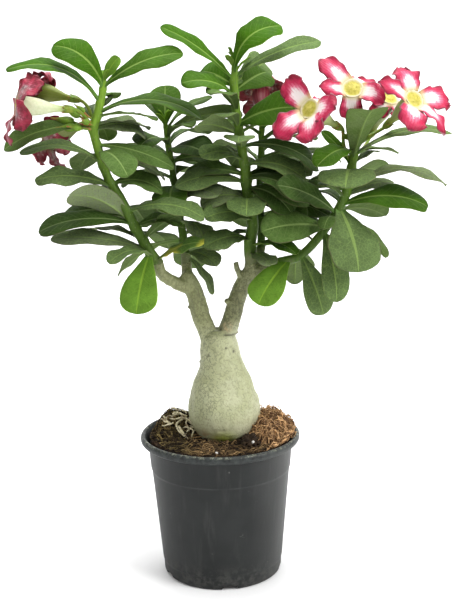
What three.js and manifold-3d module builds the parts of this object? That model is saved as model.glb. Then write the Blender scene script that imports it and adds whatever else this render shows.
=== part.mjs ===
// A young desert rose (adenium) in flower, in a round plastic nursery pot.
// Units are millimetres and +Z is up. The origin is the centre of the pot's flat underside.
// -Y is the front of the plant and +X is its right.

import * as THREE from 'three';
import { mergeVertices } from 'three/addons/utils/BufferGeometryUtils.js';
import Module from 'manifold-3d';

const wasm = await Module();
wasm.setup();

// ---------------------------------------------------------------- driving dimensions

const SEAT_GAP = 0.3; // clearance between pieces that touch
const SOIL_GAP = 0.4; // clearance of the soil in the slanted wall of the pot

const POT_HEIGHT = 135;
const RIM_RADIUS = 75;
const RIM_DEPTH = 7.4; // height of the rolled lip
const WALL_TOP_RADIUS = 68; // outside of the wall, just under the lip
const SHOULDER_HEIGHT = 102;
const SHOULDER_RADIUS = 65.2;
const SHOULDER_STEP = 0.8;
const FOOT_HEIGHT = 12.5;
const FOOT_RADIUS = 56;
const POT_WALL = 1.8;
const POT_FLOOR = 2.8;
const POT_SIDES = 32;

const NOTCH_COUNT = 5; // drain notches round the corner of the base
const NOTCH_WIDTH = 15;
const NOTCH_HEIGHT = 4.6;
const NOTCH_FIRST_ANGLE = -83; // degrees, just right of the front

const SOIL_LEVEL = 131;
const MOUND_CENTRE = [-47, 20];
const MOUND_SPREAD = 19;
const MOUND_HEIGHT = 17;

const COIR_CENTRE = [47, 3];
const COIR_RADII = [21, 38];
const COIR_HEIGHT = 19;
const COIR_REACH = 64; // furthest that the heap lies from the pot's axis

const CAUDEX_SIDES = 18;
const CAUDEX_FOOT = 104; // lowest point, sunk in the soil
// height, centre x and radius of the swollen base, from the soil to the fork
const CAUDEX_RINGS = [
  [CAUDEX_FOOT, 2, 15],
  [122, 2, 17.5],
  [130, 3, 21.5],
  [137, 4, 27.5],
  [145, 4.5, 32],
  [155, 4.5, 34],
  [164, 4, 33],
  [174, 3, 30.5],
  [185, 3.2, 27.2],
  [197, 3.5, 22],
  [209, 2.5, 18.6],
  [221, 1.5, 17.6],
  [231, 0.5, 15.5],
  [237, 0.5, 11],
];

const STEM_SIDES = 6;
const LEAF_EDGE = 0.7; // thickness at the edge
const LEAF_RIB = 1.5; // thickness at the midrib of a folded leaf
const LEAF_FLAT = 0.9; // thickness of a flat leaf
const PETAL = 0.9; // thickness of a petal
const LOBES = 5;
const TUBE_NECK_RADIUS = 2.6;
const TUBE_MOUTH_RADIUS = 8.6;
const LOBE_LENGTH = 26;
const LOBE_HALF_WIDTH = 13;
const CALYX_LENGTH = 9;
const CALYX_RADIUS = 3.6;
const PEDICEL_RADIUS = 1.5;

// ---------------------------------------------------------------- small tools

const RAD = Math.PI / 180;

function vec(p) {
  return new THREE.Vector3(p[0], p[1], p[2]);
}

// unit vector for a compass azimuth (0 = +X, 90 = +Y) and a rise above the horizon
function bearing(azimuth, rise) {
  const flat = Math.cos(rise * RAD);
  const x = flat * Math.cos(azimuth * RAD);
  const y = flat * Math.sin(azimuth * RAD);
  return new THREE.Vector3(x, y, Math.sin(rise * RAD));
}

// a small seeded generator of numbers from 0 to 1
function seeded(seed) {
  let state = seed >>> 0;
  return () => {
    state = (state + 0x6d2b79f5) >>> 0;
    let t = state;
    t = Math.imul(t ^ (t >>> 15), t | 1);
    t ^= t + Math.imul(t ^ (t >>> 7), t | 61);
    return ((t ^ (t >>> 14)) >>> 0) / 4294967296;
  };
}

function toSolid(vertices, triangles) {
  const vertProperties = new Float32Array(vertices.flatMap((v) => [v.x, v.y, v.z]));
  const triVerts = new Uint32Array(triangles.flat());
  return new wasm.Manifold(new wasm.Mesh({ numProp: 3, vertProperties, triVerts }));
}

function geometryToSolid(geometry) {
  geometry.deleteAttribute('normal');
  geometry.deleteAttribute('uv');
  const merged = mergeVertices(geometry, 1e-4);
  const vertProperties = new Float32Array(merged.attributes.position.array);
  const corners = merged.index.array;
  const kept = [];
  for (let i = 0; i < corners.length; i += 3) {
    const [a, b, c] = [corners[i], corners[i + 1], corners[i + 2]];
    if (a !== b && b !== c && c !== a) kept.push(a, b, c);
  }
  return new wasm.Manifold(
    new wasm.Mesh({ numProp: 3, vertProperties, triVerts: new Uint32Array(kept) }),
  );
}

// The largest outer skin of a solid: sealed hollows are filled and loose scraps dropped.
function oneBody(solid) {
  const parts = solid.decompose();
  parts.sort((a, b) => b.volume() - a.volume());
  return parts[0];
}

function fuse(solids) {
  return oneBody(wasm.Manifold.union(solids));
}

// A closed skin over a row of sections that have the same number of points.
// From column `flip` on, the quads are split the other way, so that the two faces of a
// blade are split alike.
function loft(sections, flip = Infinity) {
  const count = sections[0].length;
  const vertices = sections.flat();
  const triangles = [];
  for (let i = 0; i + 1 < sections.length; i += 1) {
    for (let j = 0; j < count; j += 1) {
      const a = i * count + j;
      const b = i * count + ((j + 1) % count);
      const c = a + count;
      const d = b + count;
      if (j >= flip) triangles.push([a, b, c], [b, d, c]);
      else triangles.push([a, b, d], [a, d, c]);
    }
  }
  const last = (sections.length - 1) * count;
  for (let j = 1; j + 1 < count; j += 1) {
    triangles.push([0, j + 1, j]);
    triangles.push([last, last + j, last + j + 1]);
  }
  return toSolid(vertices, triangles);
}

// A round bar along a smooth curve through the points, which hold x, y, z and radius.
function bar(points, sides, spans, startNormal = null, endNormal = null) {
  const curve = new THREE.CatmullRomCurve3(points.map(vec), false, 'centripetal');
  const sections = [];
  let across = null;
  for (let i = 0; i <= spans; i += 1) {
    const t = i / spans;
    const centre = curve.getPoint(t);
    let along = curve.getTangent(t);
    if (i === 0 && startNormal) along = vec(startNormal).normalize();
    if (i === spans && endNormal) along = vec(endNormal).normalize();
    const place = t * (points.length - 1);
    const k = Math.min(Math.floor(place), points.length - 2);
    const radius = THREE.MathUtils.lerp(points[k][3], points[k + 1][3], place - k);
    if (!across) across = new THREE.Vector3(1, 0.2, 0.1);
    across = across.clone().addScaledVector(along, -across.dot(along)).normalize();
    const other = new THREE.Vector3().crossVectors(along, across);
    const ring = [];
    for (let j = 0; j < sides; j += 1) {
      const angle = (2 * Math.PI * j) / sides;
      const point = centre.clone();
      point.addScaledVector(across, radius * Math.cos(angle));
      point.addScaledVector(other, radius * Math.sin(angle));
      ring.push(point);
    }
    sections.push(ring);
  }
  return loft(sections);
}

// ---------------------------------------------------------------- leaves

// place along the leaf, and half width there as a share of the leaf's width: the large
// folded leaves have more stations than the flat ones
const FOLDED_OUTLINE = [
  [0, 0.06],
  [0.3, 0.27],
  [0.62, 0.49],
  [0.87, 0.42],
  [1, 0.16],
];
const FLAT_OUTLINE = [
  [0, 0.06],
  [0.36, 0.33],
  [0.76, 0.5],
  [1, 0.17],
];

// The frame of a leaf: its direction, its upper side and the way across it.
function leafFrame(row) {
  const [, azimuth, rise, , , , roll] = row;
  const along = bearing(azimuth, rise);
  const upper = bearing(azimuth, rise + 90);
  const face = upper.applyAxisAngle(along, roll * RAD);
  const across = new THREE.Vector3().crossVectors(along, face);
  return { along, face, across };
}

// A point of the midrib, and the direction that the blade faces there.
function leafPoint(row, base, frame, t) {
  const [, , , length, , arch] = row;
  const centre = base.clone().addScaledVector(frame.along, length * t);
  centre.addScaledVector(frame.face, arch * 4 * t * (1 - t));
  const slope = frame.along.clone().multiplyScalar(length);
  slope.addScaledVector(frame.face, arch * 4 * (1 - 2 * t));
  const normal = new THREE.Vector3().crossVectors(frame.across, slope).normalize();
  return { centre, normal };
}

// A leaf blade. With a fold its halves rise that many degrees from a thicker midrib, and
// without one it is flat across.
function leaf(row, base) {
  const [, , , , width, , , fold] = row;
  const frame = leafFrame(row);
  const outline = fold === undefined ? FLAT_OUTLINE : FOLDED_OUTLINE;
  const sections = outline.map(([t, share]) => {
    const { centre, normal } = leafPoint(row, base, frame, t);
    const half = width * share;
    const out = half * Math.cos((fold ?? 0) * RAD);
    const lift = half * Math.sin((fold ?? 0) * RAD);
    const corner = (side, height) => {
      const point = centre.clone().addScaledVector(frame.across, side * out);
      return point.addScaledVector(normal, Math.abs(side) * lift + height);
    };
    const edge = (fold === undefined ? LEAF_FLAT : LEAF_EDGE) / 2;
    if (fold === undefined) return [corner(-1, edge), corner(1, edge), corner(1, -edge), corner(-1, -edge)];
    return [
      corner(-1, edge),
      corner(0, LEAF_RIB / 2),
      corner(1, edge),
      corner(1, -edge),
      corner(0, -LEAF_RIB / 2),
      corner(-1, -edge),
    ];
  });
  return loft(sections, fold === undefined ? 2 : 3);
}

// ---------------------------------------------------------------- the plant's layout

// plane in which the right stem meets its grey branch
const RIGHT_JOINT = [0.88, -0.24, 0.41];

// Each stem: centre line (x, y, z, radius) and its leaves. A leaf has the height on the
// stem that it grows from, azimuth, rise, length, width, arch, roll and sometimes fold.
// `fill` adds leaves on the hidden sides: count, lowest and highest leaf, first azimuth.
const STEMS = {
  left_stem: {
    line: [
      [-53, -14, 300.3, 5],
      [-59, -15, 310, 4.7],
      [-70, -16, 330, 4.5],
      [-84, -18, 360, 4.3],
      [-94, -18, 378, 4.1],
      [-103, -18, 409, 3.9],
      [-105, -18, 422, 3.8],
      [-101, -18, 433, 3.7],
      [-97, -17, 446, 3.5],
      [-94, -16, 464, 2],
    ],
    leaves: [
      [456, -173, 42, 56, 30, 16, -55, 8],
      [461, -29, 51, 27, 14, 2, 80],
      [456, -4, 22, 77, 26, 9, 45, 8],
      [444, -173, 20, 85, 28, 17, -20],
      [422, -170, -12, 80, 30, 9, -30],
      [390, -172, 9, 73, 28, 12, -15],
      [396, 116, -14, 63, 28, 8, 0],
      [370, -170, 7, 69, 31, 7, -25],
      [333, -147, 28, 72, 35, 12, 40, 10],
      [343, 153, -4, 77, 30, 9, -35],
      [336, -172, -2, 85, 33, 9, -25],
      [311, -176, 9, 89, 31, 6, -18],
      [321, 152, 5, 63, 24, 6, 0],
      [305, -133, 3, 54, 24, 9, -10],
      [310, -112, -57, 60, 38, 4, 0, 8],
      [432, -20, -3, 58, 22, 4, -8],
      [425, 23, -7, 52, 22, 5, 0],
      [435, 3, -4, 93, 31, 14, 22],
      [447, 83, 0, 50, 20, 4, 0],
      [427, 82, -22, 49, 22, 5, 0],
      [407, -8, -17, 72, 24, 6, 32],
      [400, -56, -19, 53, 30, 8, 10],
      [420, 27, -6, 50, 32, 8, 30],
      [347, -19, -2, 74, 28, 10, 22, 8],
      [321, 0, 33, 42, 24, 4, -40],
      [302, -33, 22, 56, 26, 4, 25],
      [388, 22, -14, 58, 32, 8, 20],
      [372, 6, -10, 46, 32, 8, 28],
      [333, 18, -2, 44, 28, 8, 20],
    ],
    fill: { count: 10, low: 325, high: 440, azimuth: 70 },
  },
  centre_stem: {
    line: [
      [32, 0, 295.3, 5.8],
      [31, 0, 312, 5.6],
      [34, 0, 333, 5.2],
      [30, 0, 353, 4.9],
      [28, 0, 381, 4.6],
      [23, -1, 412, 4.3],
      [20, -3, 443, 3.8],
      [19, -3, 460, 3.4],
      [21, -3, 476, 2],
    ],
    leaves: [
      [467, -7, 43, 58, 33, 18, 50, 10],
      [460, -173, 37, 79, 22, 5, -35],
      [472, -153, 69, 18, 7, 1, 0],
      [463, -3, 21, 82, 28, 6, 28, 10],
      [457, 55, 20, 55, 30, 6, 60],
      [450, 40, 23, 42, 32, 6, 50],
      [421, -22, 16, 56, 40, 6, 50, 8],
      [432, -115, 20, 53, 26, 8, -10],
      [445, -147, 15, 57, 30, 8, -35],
      [455, 138, 17, 43, 30, 6, -45],
      [419, -106, 13, 54, 20, 6, 0],
      [413, -139, 12, 50, 24, 5, 40],
      [399, -94, 11, 53, 28, 8, 0],
      [388, -144, 10, 48, 30, 7, -25],
      [375, 172, -1, 58, 32, 8, -25],
      [354, -93, -10, 49, 36, 6, 0, 12],
      [317, -144, -1, 52, 30, 7, -22],
      [334, -143, 9, 54, 30, 8, -30],
      [402, 1, -17, 74, 34, 11, 25],
      [385, -12, -13, 57, 32, 9, 28],
      [372, -37, -14, 60, 32, 9, 15],
      [311, -38, -2, 52, 26, 7, 5],
      [304, -62, -8, 36, 24, 4, 0],
      [369, -168, 0, 66, 36, 8, -22],
      [353, -170, -3, 44, 34, 8, -26],
      [374, 8, -12, 46, 36, 8, 22],
      [359, -12, -8, 58, 36, 8, 26],
      [364, -36, -22, 52, 34, 8, 20],
    ],
    fill: { count: 10, low: 325, high: 440, azimuth: 100 },
  },
  right_stem: {
    start: RIGHT_JOINT,
    line: [
      [47.3, -3, 292.4, 5],
      [58, -6, 297, 4.5],
      [76, -10, 303, 4],
      [98, -14, 327, 3.9],
      [112, -16, 349, 4],
      [119, -17, 367, 3.9],
      [122, -18, 385, 3.8],
      [124, -18, 407, 3.2],
    ],
    leaves: [
      [389, -78, 44, 67, 38, 3, 4, 24],
      [383, -172, 50, 42, 14, 3, -45],
      [393, -3, 13, 89, 26, 10, 10],
      [396, 32, -4, 52, 16, 4, 0],
      [384, 31, 23, 32, 16, 3, 0],
      [396, -129, -8, 58, 26, 8, -20],
      [379, -101, -8, 58, 50, 7, 0, 8],
      [361, -3, 3, 89, 30, 18, 10, 8],
      [356, 26, 11, 55, 28, 5, 15],
      [349, -9, 0, 78, 38, 10, 28, 8],
      [347, -66, -56, 64, 56, 5, -5, 6],
      [341, 34, -36, 78, 18, 8, 0],
      [304, -17, -69, 59, 28, 6, 60],
      [326, -56, -73, 66, 27, 8, 20],
      [339, -110, -11, 33, 16, 4, 0],
      [342, -147, 26, 70, 30, 5, -50],
      [356, -126, 21, 45, 12, 3, -10],
      [329, -150, 3, 68, 36, 6, -45],
      [300, -140, -42, 54, 34, 5, -25, 8],
      [302, 91, -51, 38, 20, 5, 0],
      [362, 128, 6, 50, 28, 5, -30],
    ],
    fill: { count: 8, low: 320, high: 392, azimuth: 60 },
  },
  back_left_stem: {
    line: [
      [-28, 11, 294.3, 4.4],
      [-30, 16, 316, 3.8],
      [-35, 24, 347, 3.4],
      [-39, 30, 379, 3.1],
      [-43, 34, 407, 2.9],
      [-45, 36, 426, 2],
    ],
    leaves: [
      [421, 90, 66, 39, 30, 3, 0],
      [416, -10, 34, 53, 24, 6, 20],
      [396, -52, 0, 58, 37, 7, 20],
      [402, -119, 4, 48, 32, 7, -15],
      [409, -51, 17, 41, 22, 5, 10],
      [356, -49, 4, 60, 34, 7, 18],
      [303, -41, -10, 40, 26, 6, 10],
      [303, -22, -52, 46, 18, 3, 0],
      [364, -92, -16, 60, 34, 8, 8],
      [331, -60, -14, 46, 30, 8, -10],
      [386, 6, -6, 48, 30, 8, 28],
      [372, -176, -6, 50, 34, 8, -10],
    ],
    fill: { count: 20, low: 310, high: 420, azimuth: 20 },
  },
  back_stem: {
    line: [
      [40, 12, 295.3, 4.2],
      [42, 20, 314, 3.7],
      [42, 32, 341, 3.4],
      [42, 42, 368, 3.2],
      [44, 47, 395, 3],
      [45, 49, 426, 2.4],
    ],
    leaves: [
      [345, -52, -10, 60, 32, 8, 15],
      [352, -146, -8, 62, 30, 8, -25],
      [333, -25, -7, 60, 33, 8, 12],
    ],
    fill: { count: 22, low: 310, high: 420, azimuth: 0 },
  },
};

// Each bloom: stem that carries it, where its stalk leaves that stem, neck and mouth of
// the tube, turn of five even lobes, and the lobes' first slope and curl in degrees. With
// `lean` the upper lobes start further back and the lower ones further forward. `lobes`
// places each lobe by itself: angle from the top, tilt, and shares of length and width.
const BLOOMS = {
  bloom_front: {
    stem: 'right_stem', stalk: [[119, -18, 388], [114, -22, 404]],
    neck: [107, -31, 420], mouth: [81, -58, 436], slope: 30, curl: 18,
    lobes: [
      [50, 0, 1.05, 1],
      [138, 5, 1.05, 1.1],
      [216, 5, 1.15, 1.05],
      [266, 0, 1.05, 1],
      [334, -100, 0.55, 0.75],
    ],
  },
  bloom_middle: {
    stem: 'right_stem', stalk: [[124, -18, 400], [122, -14, 414]],
    neck: [121, -12, 431], mouth: [119, -46, 452], slope: 32, curl: 20,
    lobes: [
      [45, -10, 1.12, 0.8],
      [99, 6, 0.8, 0.6],
      [175, -60, 0.7, 0.8],
      [253, -18, 0.82, 0.85],
      [325, -80, 0.9, 0.8],
    ],
  },
  bloom_right: {
    stem: 'right_stem', stalk: [[124, -18, 400], [138, -18, 410]],
    neck: [154, -20, 421], mouth: [171, -50, 442], slope: 30, curl: 20,
    lobes: [
      [5, -10, 0.88, 1.05],
      [62, -15, 1, 0.6],
      [147, 0, 1, 1.1],
      [206, 0, 1.25, 0.55],
      [266, 0, 1.05, 1],
    ],
  },
  bloom_behind: {
    stem: 'right_stem', stalk: [[124, -16, 396], [134, 10, 396]],
    neck: [147, 30, 412], mouth: [158, 8, 442], slope: 30, curl: 20, size: 0.85,
    lobes: [
      [50, 0, 1.2, 0.8],
      [125, -80, 0.7, 0.8],
      [200, -85, 0.6, 0.7],
      [270, -80, 0.6, 0.7],
      [345, -30, 0.8, 0.8],
    ],
  },
  bloom_back: {
    stem: 'back_stem', stalk: [[45, 48, 417], [45, 51, 423]],
    neck: [45, 54, 429], mouth: [46, 82, 446], turn: 20, slope: 35, curl: 22,
  },
  bloom_left: {
    stem: 'left_stem', stalk: [[-105, -18, 420], [-110, -27, 431]],
    neck: [-126, -37, 439], mouth: [-166, -47, 443], turn: 0, slope: 2, curl: 26, lean: 32,
  },
  bloom_left_upper: {
    stem: 'left_stem', stalk: [[-104, -18, 425], [-110, -12, 440]],
    neck: [-124, -6, 447], mouth: [-160, 8, 455], turn: 40, slope: -12, curl: 58, size: 0.8,
  },
  bloom_left_lower: {
    stem: 'left_stem', stalk: [[-105, -16, 416], [-109, -8, 424]],
    neck: [-117, -2, 423], mouth: [-150, 12, 409], slope: 10, curl: 24, size: 0.9,
    lobes: [
      [30, -30, 0.8, 0.9],
      [105, 0, 0.9, 0.9],
      [185, 5, 0.95, 0.7],
      [236, 10, 1, 0.75],
      [292, -85, 1.1, 1.1],
    ],
  },
};

// ---------------------------------------------------------------- stems with their leaves

// The point of a stem's centre line at a height.
function stemPoint(line, height) {
  let k = 0;
  while (k < line.length - 2 && line[k + 1][2] < height) k += 1;
  const low = line[k];
  const high = line[k + 1];
  const t = THREE.MathUtils.clamp((height - low[2]) / (high[2] - low[2]), 0, 1);
  return vec(low).lerp(vec(high), t);
}

// Points spread over a leaf, by which leaves are kept clear of each other.
function leafSamples(row, base) {
  const frame = leafFrame(row);
  const points = [];
  for (const t of [0.3, 0.48, 0.66, 0.84, 1]) {
    const { centre } = leafPoint(row, base, frame, t);
    const reach = t === 1 ? 0 : row[4] * 0.4;
    for (const side of [-1, 0, 1]) {
      points.push(centre.clone().addScaledVector(frame.across, side * reach));
    }
  }
  return points;
}

const GOLDEN_ANGLE = 137.5;
const FILL_CLEARANCE = 8;
const BLOOM_CLEARANCE = 36;
const HIDDEN_DEPTH = -12; // leaves added by the rule stay behind this depth

// Leaves on the hidden sides of each stem, spiralling up it at the golden angle. A leaf
// that comes near a leaf or bloom of another stem is turned on, and at last left out.
function addHiddenLeaves() {
  const taken = [];
  for (const [name, stem] of Object.entries(STEMS)) {
    for (const row of stem.leaves) {
      const base = stemPoint(stem.line, row[0]);
      leafSamples(row, base).forEach((point) => taken.push({ name, point }));
    }
    for (let i = 0; i <= 12; i += 1) {
      const height = THREE.MathUtils.lerp(stem.line[0][2], stem.line.at(-1)[2], i / 12);
      taken.push({ name, point: stemPoint(stem.line, height) });
    }
  }
  const mouths = Object.values(BLOOMS).map((bloom) => vec(bloom.mouth));
  const draw = seeded(41);
  for (const [name, stem] of Object.entries(STEMS)) {
    const { count, low, high, azimuth } = stem.fill;
    for (let i = 0; i < count; i += 1) {
      const height = THREE.MathUtils.lerp(low, high, i / (count - 1));
      const rise = -22 + 36 * (i / (count - 1)) + 14 * (draw() - 0.5);
      const length = 60 + 18 * draw();
      const width = 27 + 8 * draw();
      const roll = 70 * (draw() - 0.5);
      const base = stemPoint(stem.line, height);
      for (let turn = 0; turn < 5; turn += 1) {
        const heading = azimuth + GOLDEN_ANGLE * i + 31 * turn;
        const row = [height, heading, rise, length, width, 8, roll];
        const samples = leafSamples(row, base);
        const hidden = samples.every((sample) => sample.y > HIDDEN_DEPTH);
        const clear = samples.every((sample) =>
          taken.every((other) => {
            const near = other.name === name ? 3 : FILL_CLEARANCE;
            return other.point.distanceTo(sample) > near;
          }),
        );
        const open = samples.every((sample) =>
          mouths.every((mouth) => mouth.distanceTo(sample) > BLOOM_CLEARANCE),
        );
        if (hidden && clear && open) {
          stem.leaves.push(row);
          samples.forEach((point) => taken.push({ name, point }));
          break;
        }
      }
    }
  }
}

function bloomAxis(bloom) {
  return vec(bloom.mouth).sub(vec(bloom.neck)).normalize();
}

// A ring of points round an axis.
function ringAround(centre, axis, radii, turn = 0) {
  const across = new THREE.Vector3(0, 0, 1);
  across.addScaledVector(axis, -across.dot(axis)).normalize();
  const other = new THREE.Vector3().crossVectors(axis, across);
  return radii.map((radius, j) => {
    const angle = (2 * Math.PI * j) / radii.length + turn * RAD;
    const point = centre.clone().addScaledVector(across, radius * Math.cos(angle));
    return point.addScaledVector(other, radius * Math.sin(angle));
  });
}

// Stalk and calyx of a bloom, part of the stem that carries it.
function stalkAndCalyx(bloom) {
  const axis = bloomAxis(bloom);
  const top = vec(bloom.neck).addScaledVector(axis, -SEAT_GAP);
  const foot = top.clone().addScaledVector(axis, -CALYX_LENGTH);
  const star = (radius, dip) =>
    Array.from({ length: 2 * LOBES }, (_, j) => (j % 2 ? radius - dip : radius));
  const calyx = loft([
    ringAround(foot, axis, star(1.2, 0)),
    ringAround(foot.clone().lerp(top, 0.35), axis, star(CALYX_RADIUS * 0.8, 0.4)),
    ringAround(top, axis, star(CALYX_RADIUS, 1)),
  ]);
  const inside = foot.clone().lerp(top, 0.3);
  const points = [...bloom.stalk, foot.toArray(), inside.toArray()];
  const stalk = bar(points.map((p) => [...p, PEDICEL_RADIUS]), 4, 4);
  return [stalk, calyx];
}

function leafyStem(name) {
  const stem = STEMS[name];
  const start = stem.start ?? [0, 0, 1];
  const solids = [bar(stem.line, STEM_SIDES, stem.line.length, start)];
  for (const row of stem.leaves) {
    solids.push(leaf(row, stemPoint(stem.line, row[0])));
  }
  for (const bloom of Object.values(BLOOMS)) {
    if (bloom.stem === name) solids.push(...stalkAndCalyx(bloom));
  }
  return fuse(solids);
}

// ---------------------------------------------------------------- blooms

const LOBE_COLUMNS = 2;
const LOBE_ROWS = 3;
// half width of a lobe at each row past the mouth, as a share of its widest
const LOBE_SHARES = [0.72, 1, 0.55];

// A corolla: a funnel with a closed neck, and five lobes that spread from its mouth.
function corolla(bloom, seed) {
  const draw = seeded(seed);
  const size = bloom.size ?? 1;
  const axis = bloomAxis(bloom);
  const mouth = vec(bloom.mouth);
  const depth = mouth.distanceTo(vec(bloom.neck));
  const across = new THREE.Vector3(0, 0, 1);
  across.addScaledVector(axis, -across.dot(axis)).normalize();
  const other = new THREE.Vector3().crossVectors(axis, across);
  const around = LOBES * LOBE_COLUMNS;
  const place = (radius, angle, height, aside = 0) => {
    const outward = across.clone().multiplyScalar(Math.cos(angle));
    outward.addScaledVector(other, Math.sin(angle));
    const sideways = new THREE.Vector3().crossVectors(axis, outward);
    const point = mouth.clone().addScaledVector(outward, radius);
    return point.addScaledVector(axis, height).addScaledVector(sideways, aside);
  };
  const vertices = [];
  const triangles = [];
  const add = (point) => vertices.push(point) - 1;
  const quad = (a, b, c, d) => triangles.push([a, b, c], [a, c, d]);
  const even = Array.from({ length: LOBES }, (_, i) => [(360 * (i + 0.5)) / LOBES + bloom.turn, 0, 1, 1]);
  const lobes = bloom.lobes ?? even;
  // a lobe's own angle in its middle, and halfway to the next lobe between two of them
  const angleOf = (j) => {
    const after = lobes[Math.floor(j / 2) % LOBES][0];
    if (j % 2 === 1) return after * RAD;
    const before = lobes[(j / 2 + LOBES - 1) % LOBES][0];
    return (after + before + (before > after ? -360 : 0)) * 0.5 * RAD;
  };
  const ring = (radius, height) =>
    Array.from({ length: around }, (_, j) => add(place(radius, angleOf(j), height)));

  const neckOut = ring(TUBE_NECK_RADIUS, -depth);
  const bellyOut = ring(TUBE_MOUTH_RADIUS * 0.86, -depth * 0.45);
  const mouthOut = ring(TUBE_MOUTH_RADIUS, -PETAL * 0.6);
  const mouthIn = ring(TUBE_MOUTH_RADIUS - PETAL, PETAL * 0.3);
  const bellyIn = ring(TUBE_MOUTH_RADIUS * 0.86 - PETAL, -depth * 0.45);
  const neckIn = ring(TUBE_NECK_RADIUS - PETAL, -depth + PETAL);
  const rings = [neckOut, bellyOut, mouthOut];
  const innerRings = [mouthIn, bellyIn, neckIn];
  for (let j = 0; j < around; j += 1) {
    const k = (j + 1) % around;
    for (let i = 0; i < 2; i += 1) {
      quad(rings[i][j], rings[i][k], rings[i + 1][k], rings[i + 1][j]);
      quad(innerRings[i][j], innerRings[i][k], innerRings[i + 1][k], innerRings[i + 1][j]);
    }
    if (j > 0 && j < around - 1) {
      triangles.push([neckOut[0], neckOut[j + 1], neckOut[j]]);
      triangles.push([neckIn[0], neckIn[j], neckIn[j + 1]]);
    }
  }

  for (let lobe = 0; lobe < LOBES; lobe += 1) {
    const first = lobe * LOBE_COLUMNS;
    const columns = Array.from({ length: LOBE_COLUMNS + 1 }, (_, j) => (first + j) % around);
    const [, tilt, longer, wider] = lobes[lobe];
    const middle = angleOf(first + 1);
    const upper = [columns.map((j) => mouthIn[j])];
    const lower = [columns.map((j) => mouthOut[j])];
    const curl = bloom.curl + 14 * (draw() - 0.5);
    const twist = 3 * (draw() - 0.2);
    let slope = bloom.slope + tilt + 10 * (draw() - 0.5);
    slope -= (bloom.lean ?? 0) * Math.cos(middle);
    let radius = TUBE_MOUTH_RADIUS;
    let height = 0;
    for (let row = 0; row < LOBE_ROWS; row += 1) {
      const step = (size * longer * LOBE_LENGTH) / LOBE_ROWS;
      radius += step * Math.cos(slope * RAD);
      height += step * Math.sin(slope * RAD);
      const rise = slope - curl / 2;
      slope -= curl;
      const up = [];
      const down = [];
      for (let j = 0; j <= LOBE_COLUMNS; j += 1) {
        const side = (2 * j) / LOBE_COLUMNS - 1;
        const aside = side * size * wider * LOBE_HALF_WIDTH * LOBE_SHARES[row];
        const rounded = row === LOBE_ROWS - 1 ? 3 * (1 - side * side) : 0;
        const wave = twist * side * ((row + 1) / LOBE_ROWS) + 1.6 * (draw() - 0.5);
        const tipOut = Math.cos(rise * RAD);
        const tipUp = Math.sin(rise * RAD);
        const r = radius + rounded * tipOut - wave * tipUp;
        const h = height + rounded * tipUp + wave * tipOut;
        const dr = (-tipUp * PETAL) / 2;
        const dh = (tipOut * PETAL) / 2;
        up.push(add(place(r + dr, middle, h + dh, aside)));
        down.push(add(place(r - dr, middle, h - dh, aside)));
      }
      upper.push(up);
      lower.push(down);
    }
    for (let row = 0; row < LOBE_ROWS; row += 1) {
      for (let j = 0; j < LOBE_COLUMNS; j += 1) {
        quad(upper[row][j], upper[row + 1][j], upper[row + 1][j + 1], upper[row][j + 1]);
        const [a, b] = [lower[row][j], lower[row][j + 1]];
        const [c, d] = [lower[row + 1][j + 1], lower[row + 1][j]];
        triangles.push([a, b, c], [a, c, d]);
      }
      quad(lower[row][0], lower[row + 1][0], upper[row + 1][0], upper[row][0]);
      const e = LOBE_COLUMNS;
      quad(upper[row][e], upper[row + 1][e], lower[row + 1][e], lower[row][e]);
    }
    for (let j = 0; j < LOBE_COLUMNS; j += 1) {
      const [u, d] = [upper[LOBE_ROWS], lower[LOBE_ROWS]];
      quad(u[j], d[j], d[j + 1], u[j + 1]);
    }
  }
  return toSolid(vertices, triangles);
}

// ---------------------------------------------------------------- caudex and branches

// The swollen base, grown by `extra` where it serves as the tool that opens its hole.
function caudexBody(extra) {
  const sections = CAUDEX_RINGS.map(([height, x, radius], i) => {
    const drop = i === 0 ? extra : 0;
    const ring = [];
    for (let j = 0; j < CAUDEX_SIDES; j += 1) {
      const angle = (2 * Math.PI * j) / CAUDEX_SIDES;
      const ripple = 1 + 0.025 * Math.cos(3 * angle + height / 14);
      const reach = radius * ripple + extra;
      ring.push(vec([x + reach * Math.cos(angle), reach * Math.sin(angle), height - drop]));
    }
    return ring;
  });
  return loft(sections);
}

// grey woody branches and short snags: points with radius, and the plane of their end
const BRANCHES = [
  {
    line: [
      [-6, 0, 220, 9.5],
      [-15, 1, 247, 8.8],
      [-21, 2, 270, 8.2],
      [-27, 3, 283, 7.4],
      [-31, 3, 287, 6.4],
    ],
  },
  {
    line: [
      [-24, 1, 272, 6],
      [-40, -6, 281, 5.6],
      [-50, -12, 290, 5.4],
      [-53, -14, 300, 5.2],
    ],
    end: [0, 0, 1],
  },
  { line: [[-24, 3, 276, 5.4], [-27, 8, 285, 5], [-28, 11, 294, 4.8]], end: [0, 0, 1] },
  {
    line: [
      [5, 0, 222, 9.4],
      [14, 0, 247, 8.6],
      [18, 0, 262, 8],
      [25, 1, 278, 7.6],
      [31, 1, 288, 6.6],
    ],
  },
  { line: [[26, 0, 280, 6.6], [31, 0, 288, 6.2], [32, 0, 295, 6]], end: [0, 0, 1] },
  { line: [[27, 0, 281, 6], [37, -1, 287, 5.6], [47, -3, 292.1, 5.3]], end: RIGHT_JOINT },
  { line: [[28, 2, 281, 5.4], [37, 9, 287, 5], [40, 12, 295, 4.6]], end: [0, 0, 1] },
  { line: [[24, 0, 279, 3.4], [19, -3, 291, 2.8], [18, -3, 296, 2.6]] },
  { line: [[15, -2, 256, 3.4], [8, -6, 263, 2.8]] },
];

function caudex() {
  const branches = BRANCHES.map(({ line, end }) => bar(line, 7, line.length, null, end));
  return fuse([caudexBody(0), ...branches]);
}

// ---------------------------------------------------------------- pot

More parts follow.
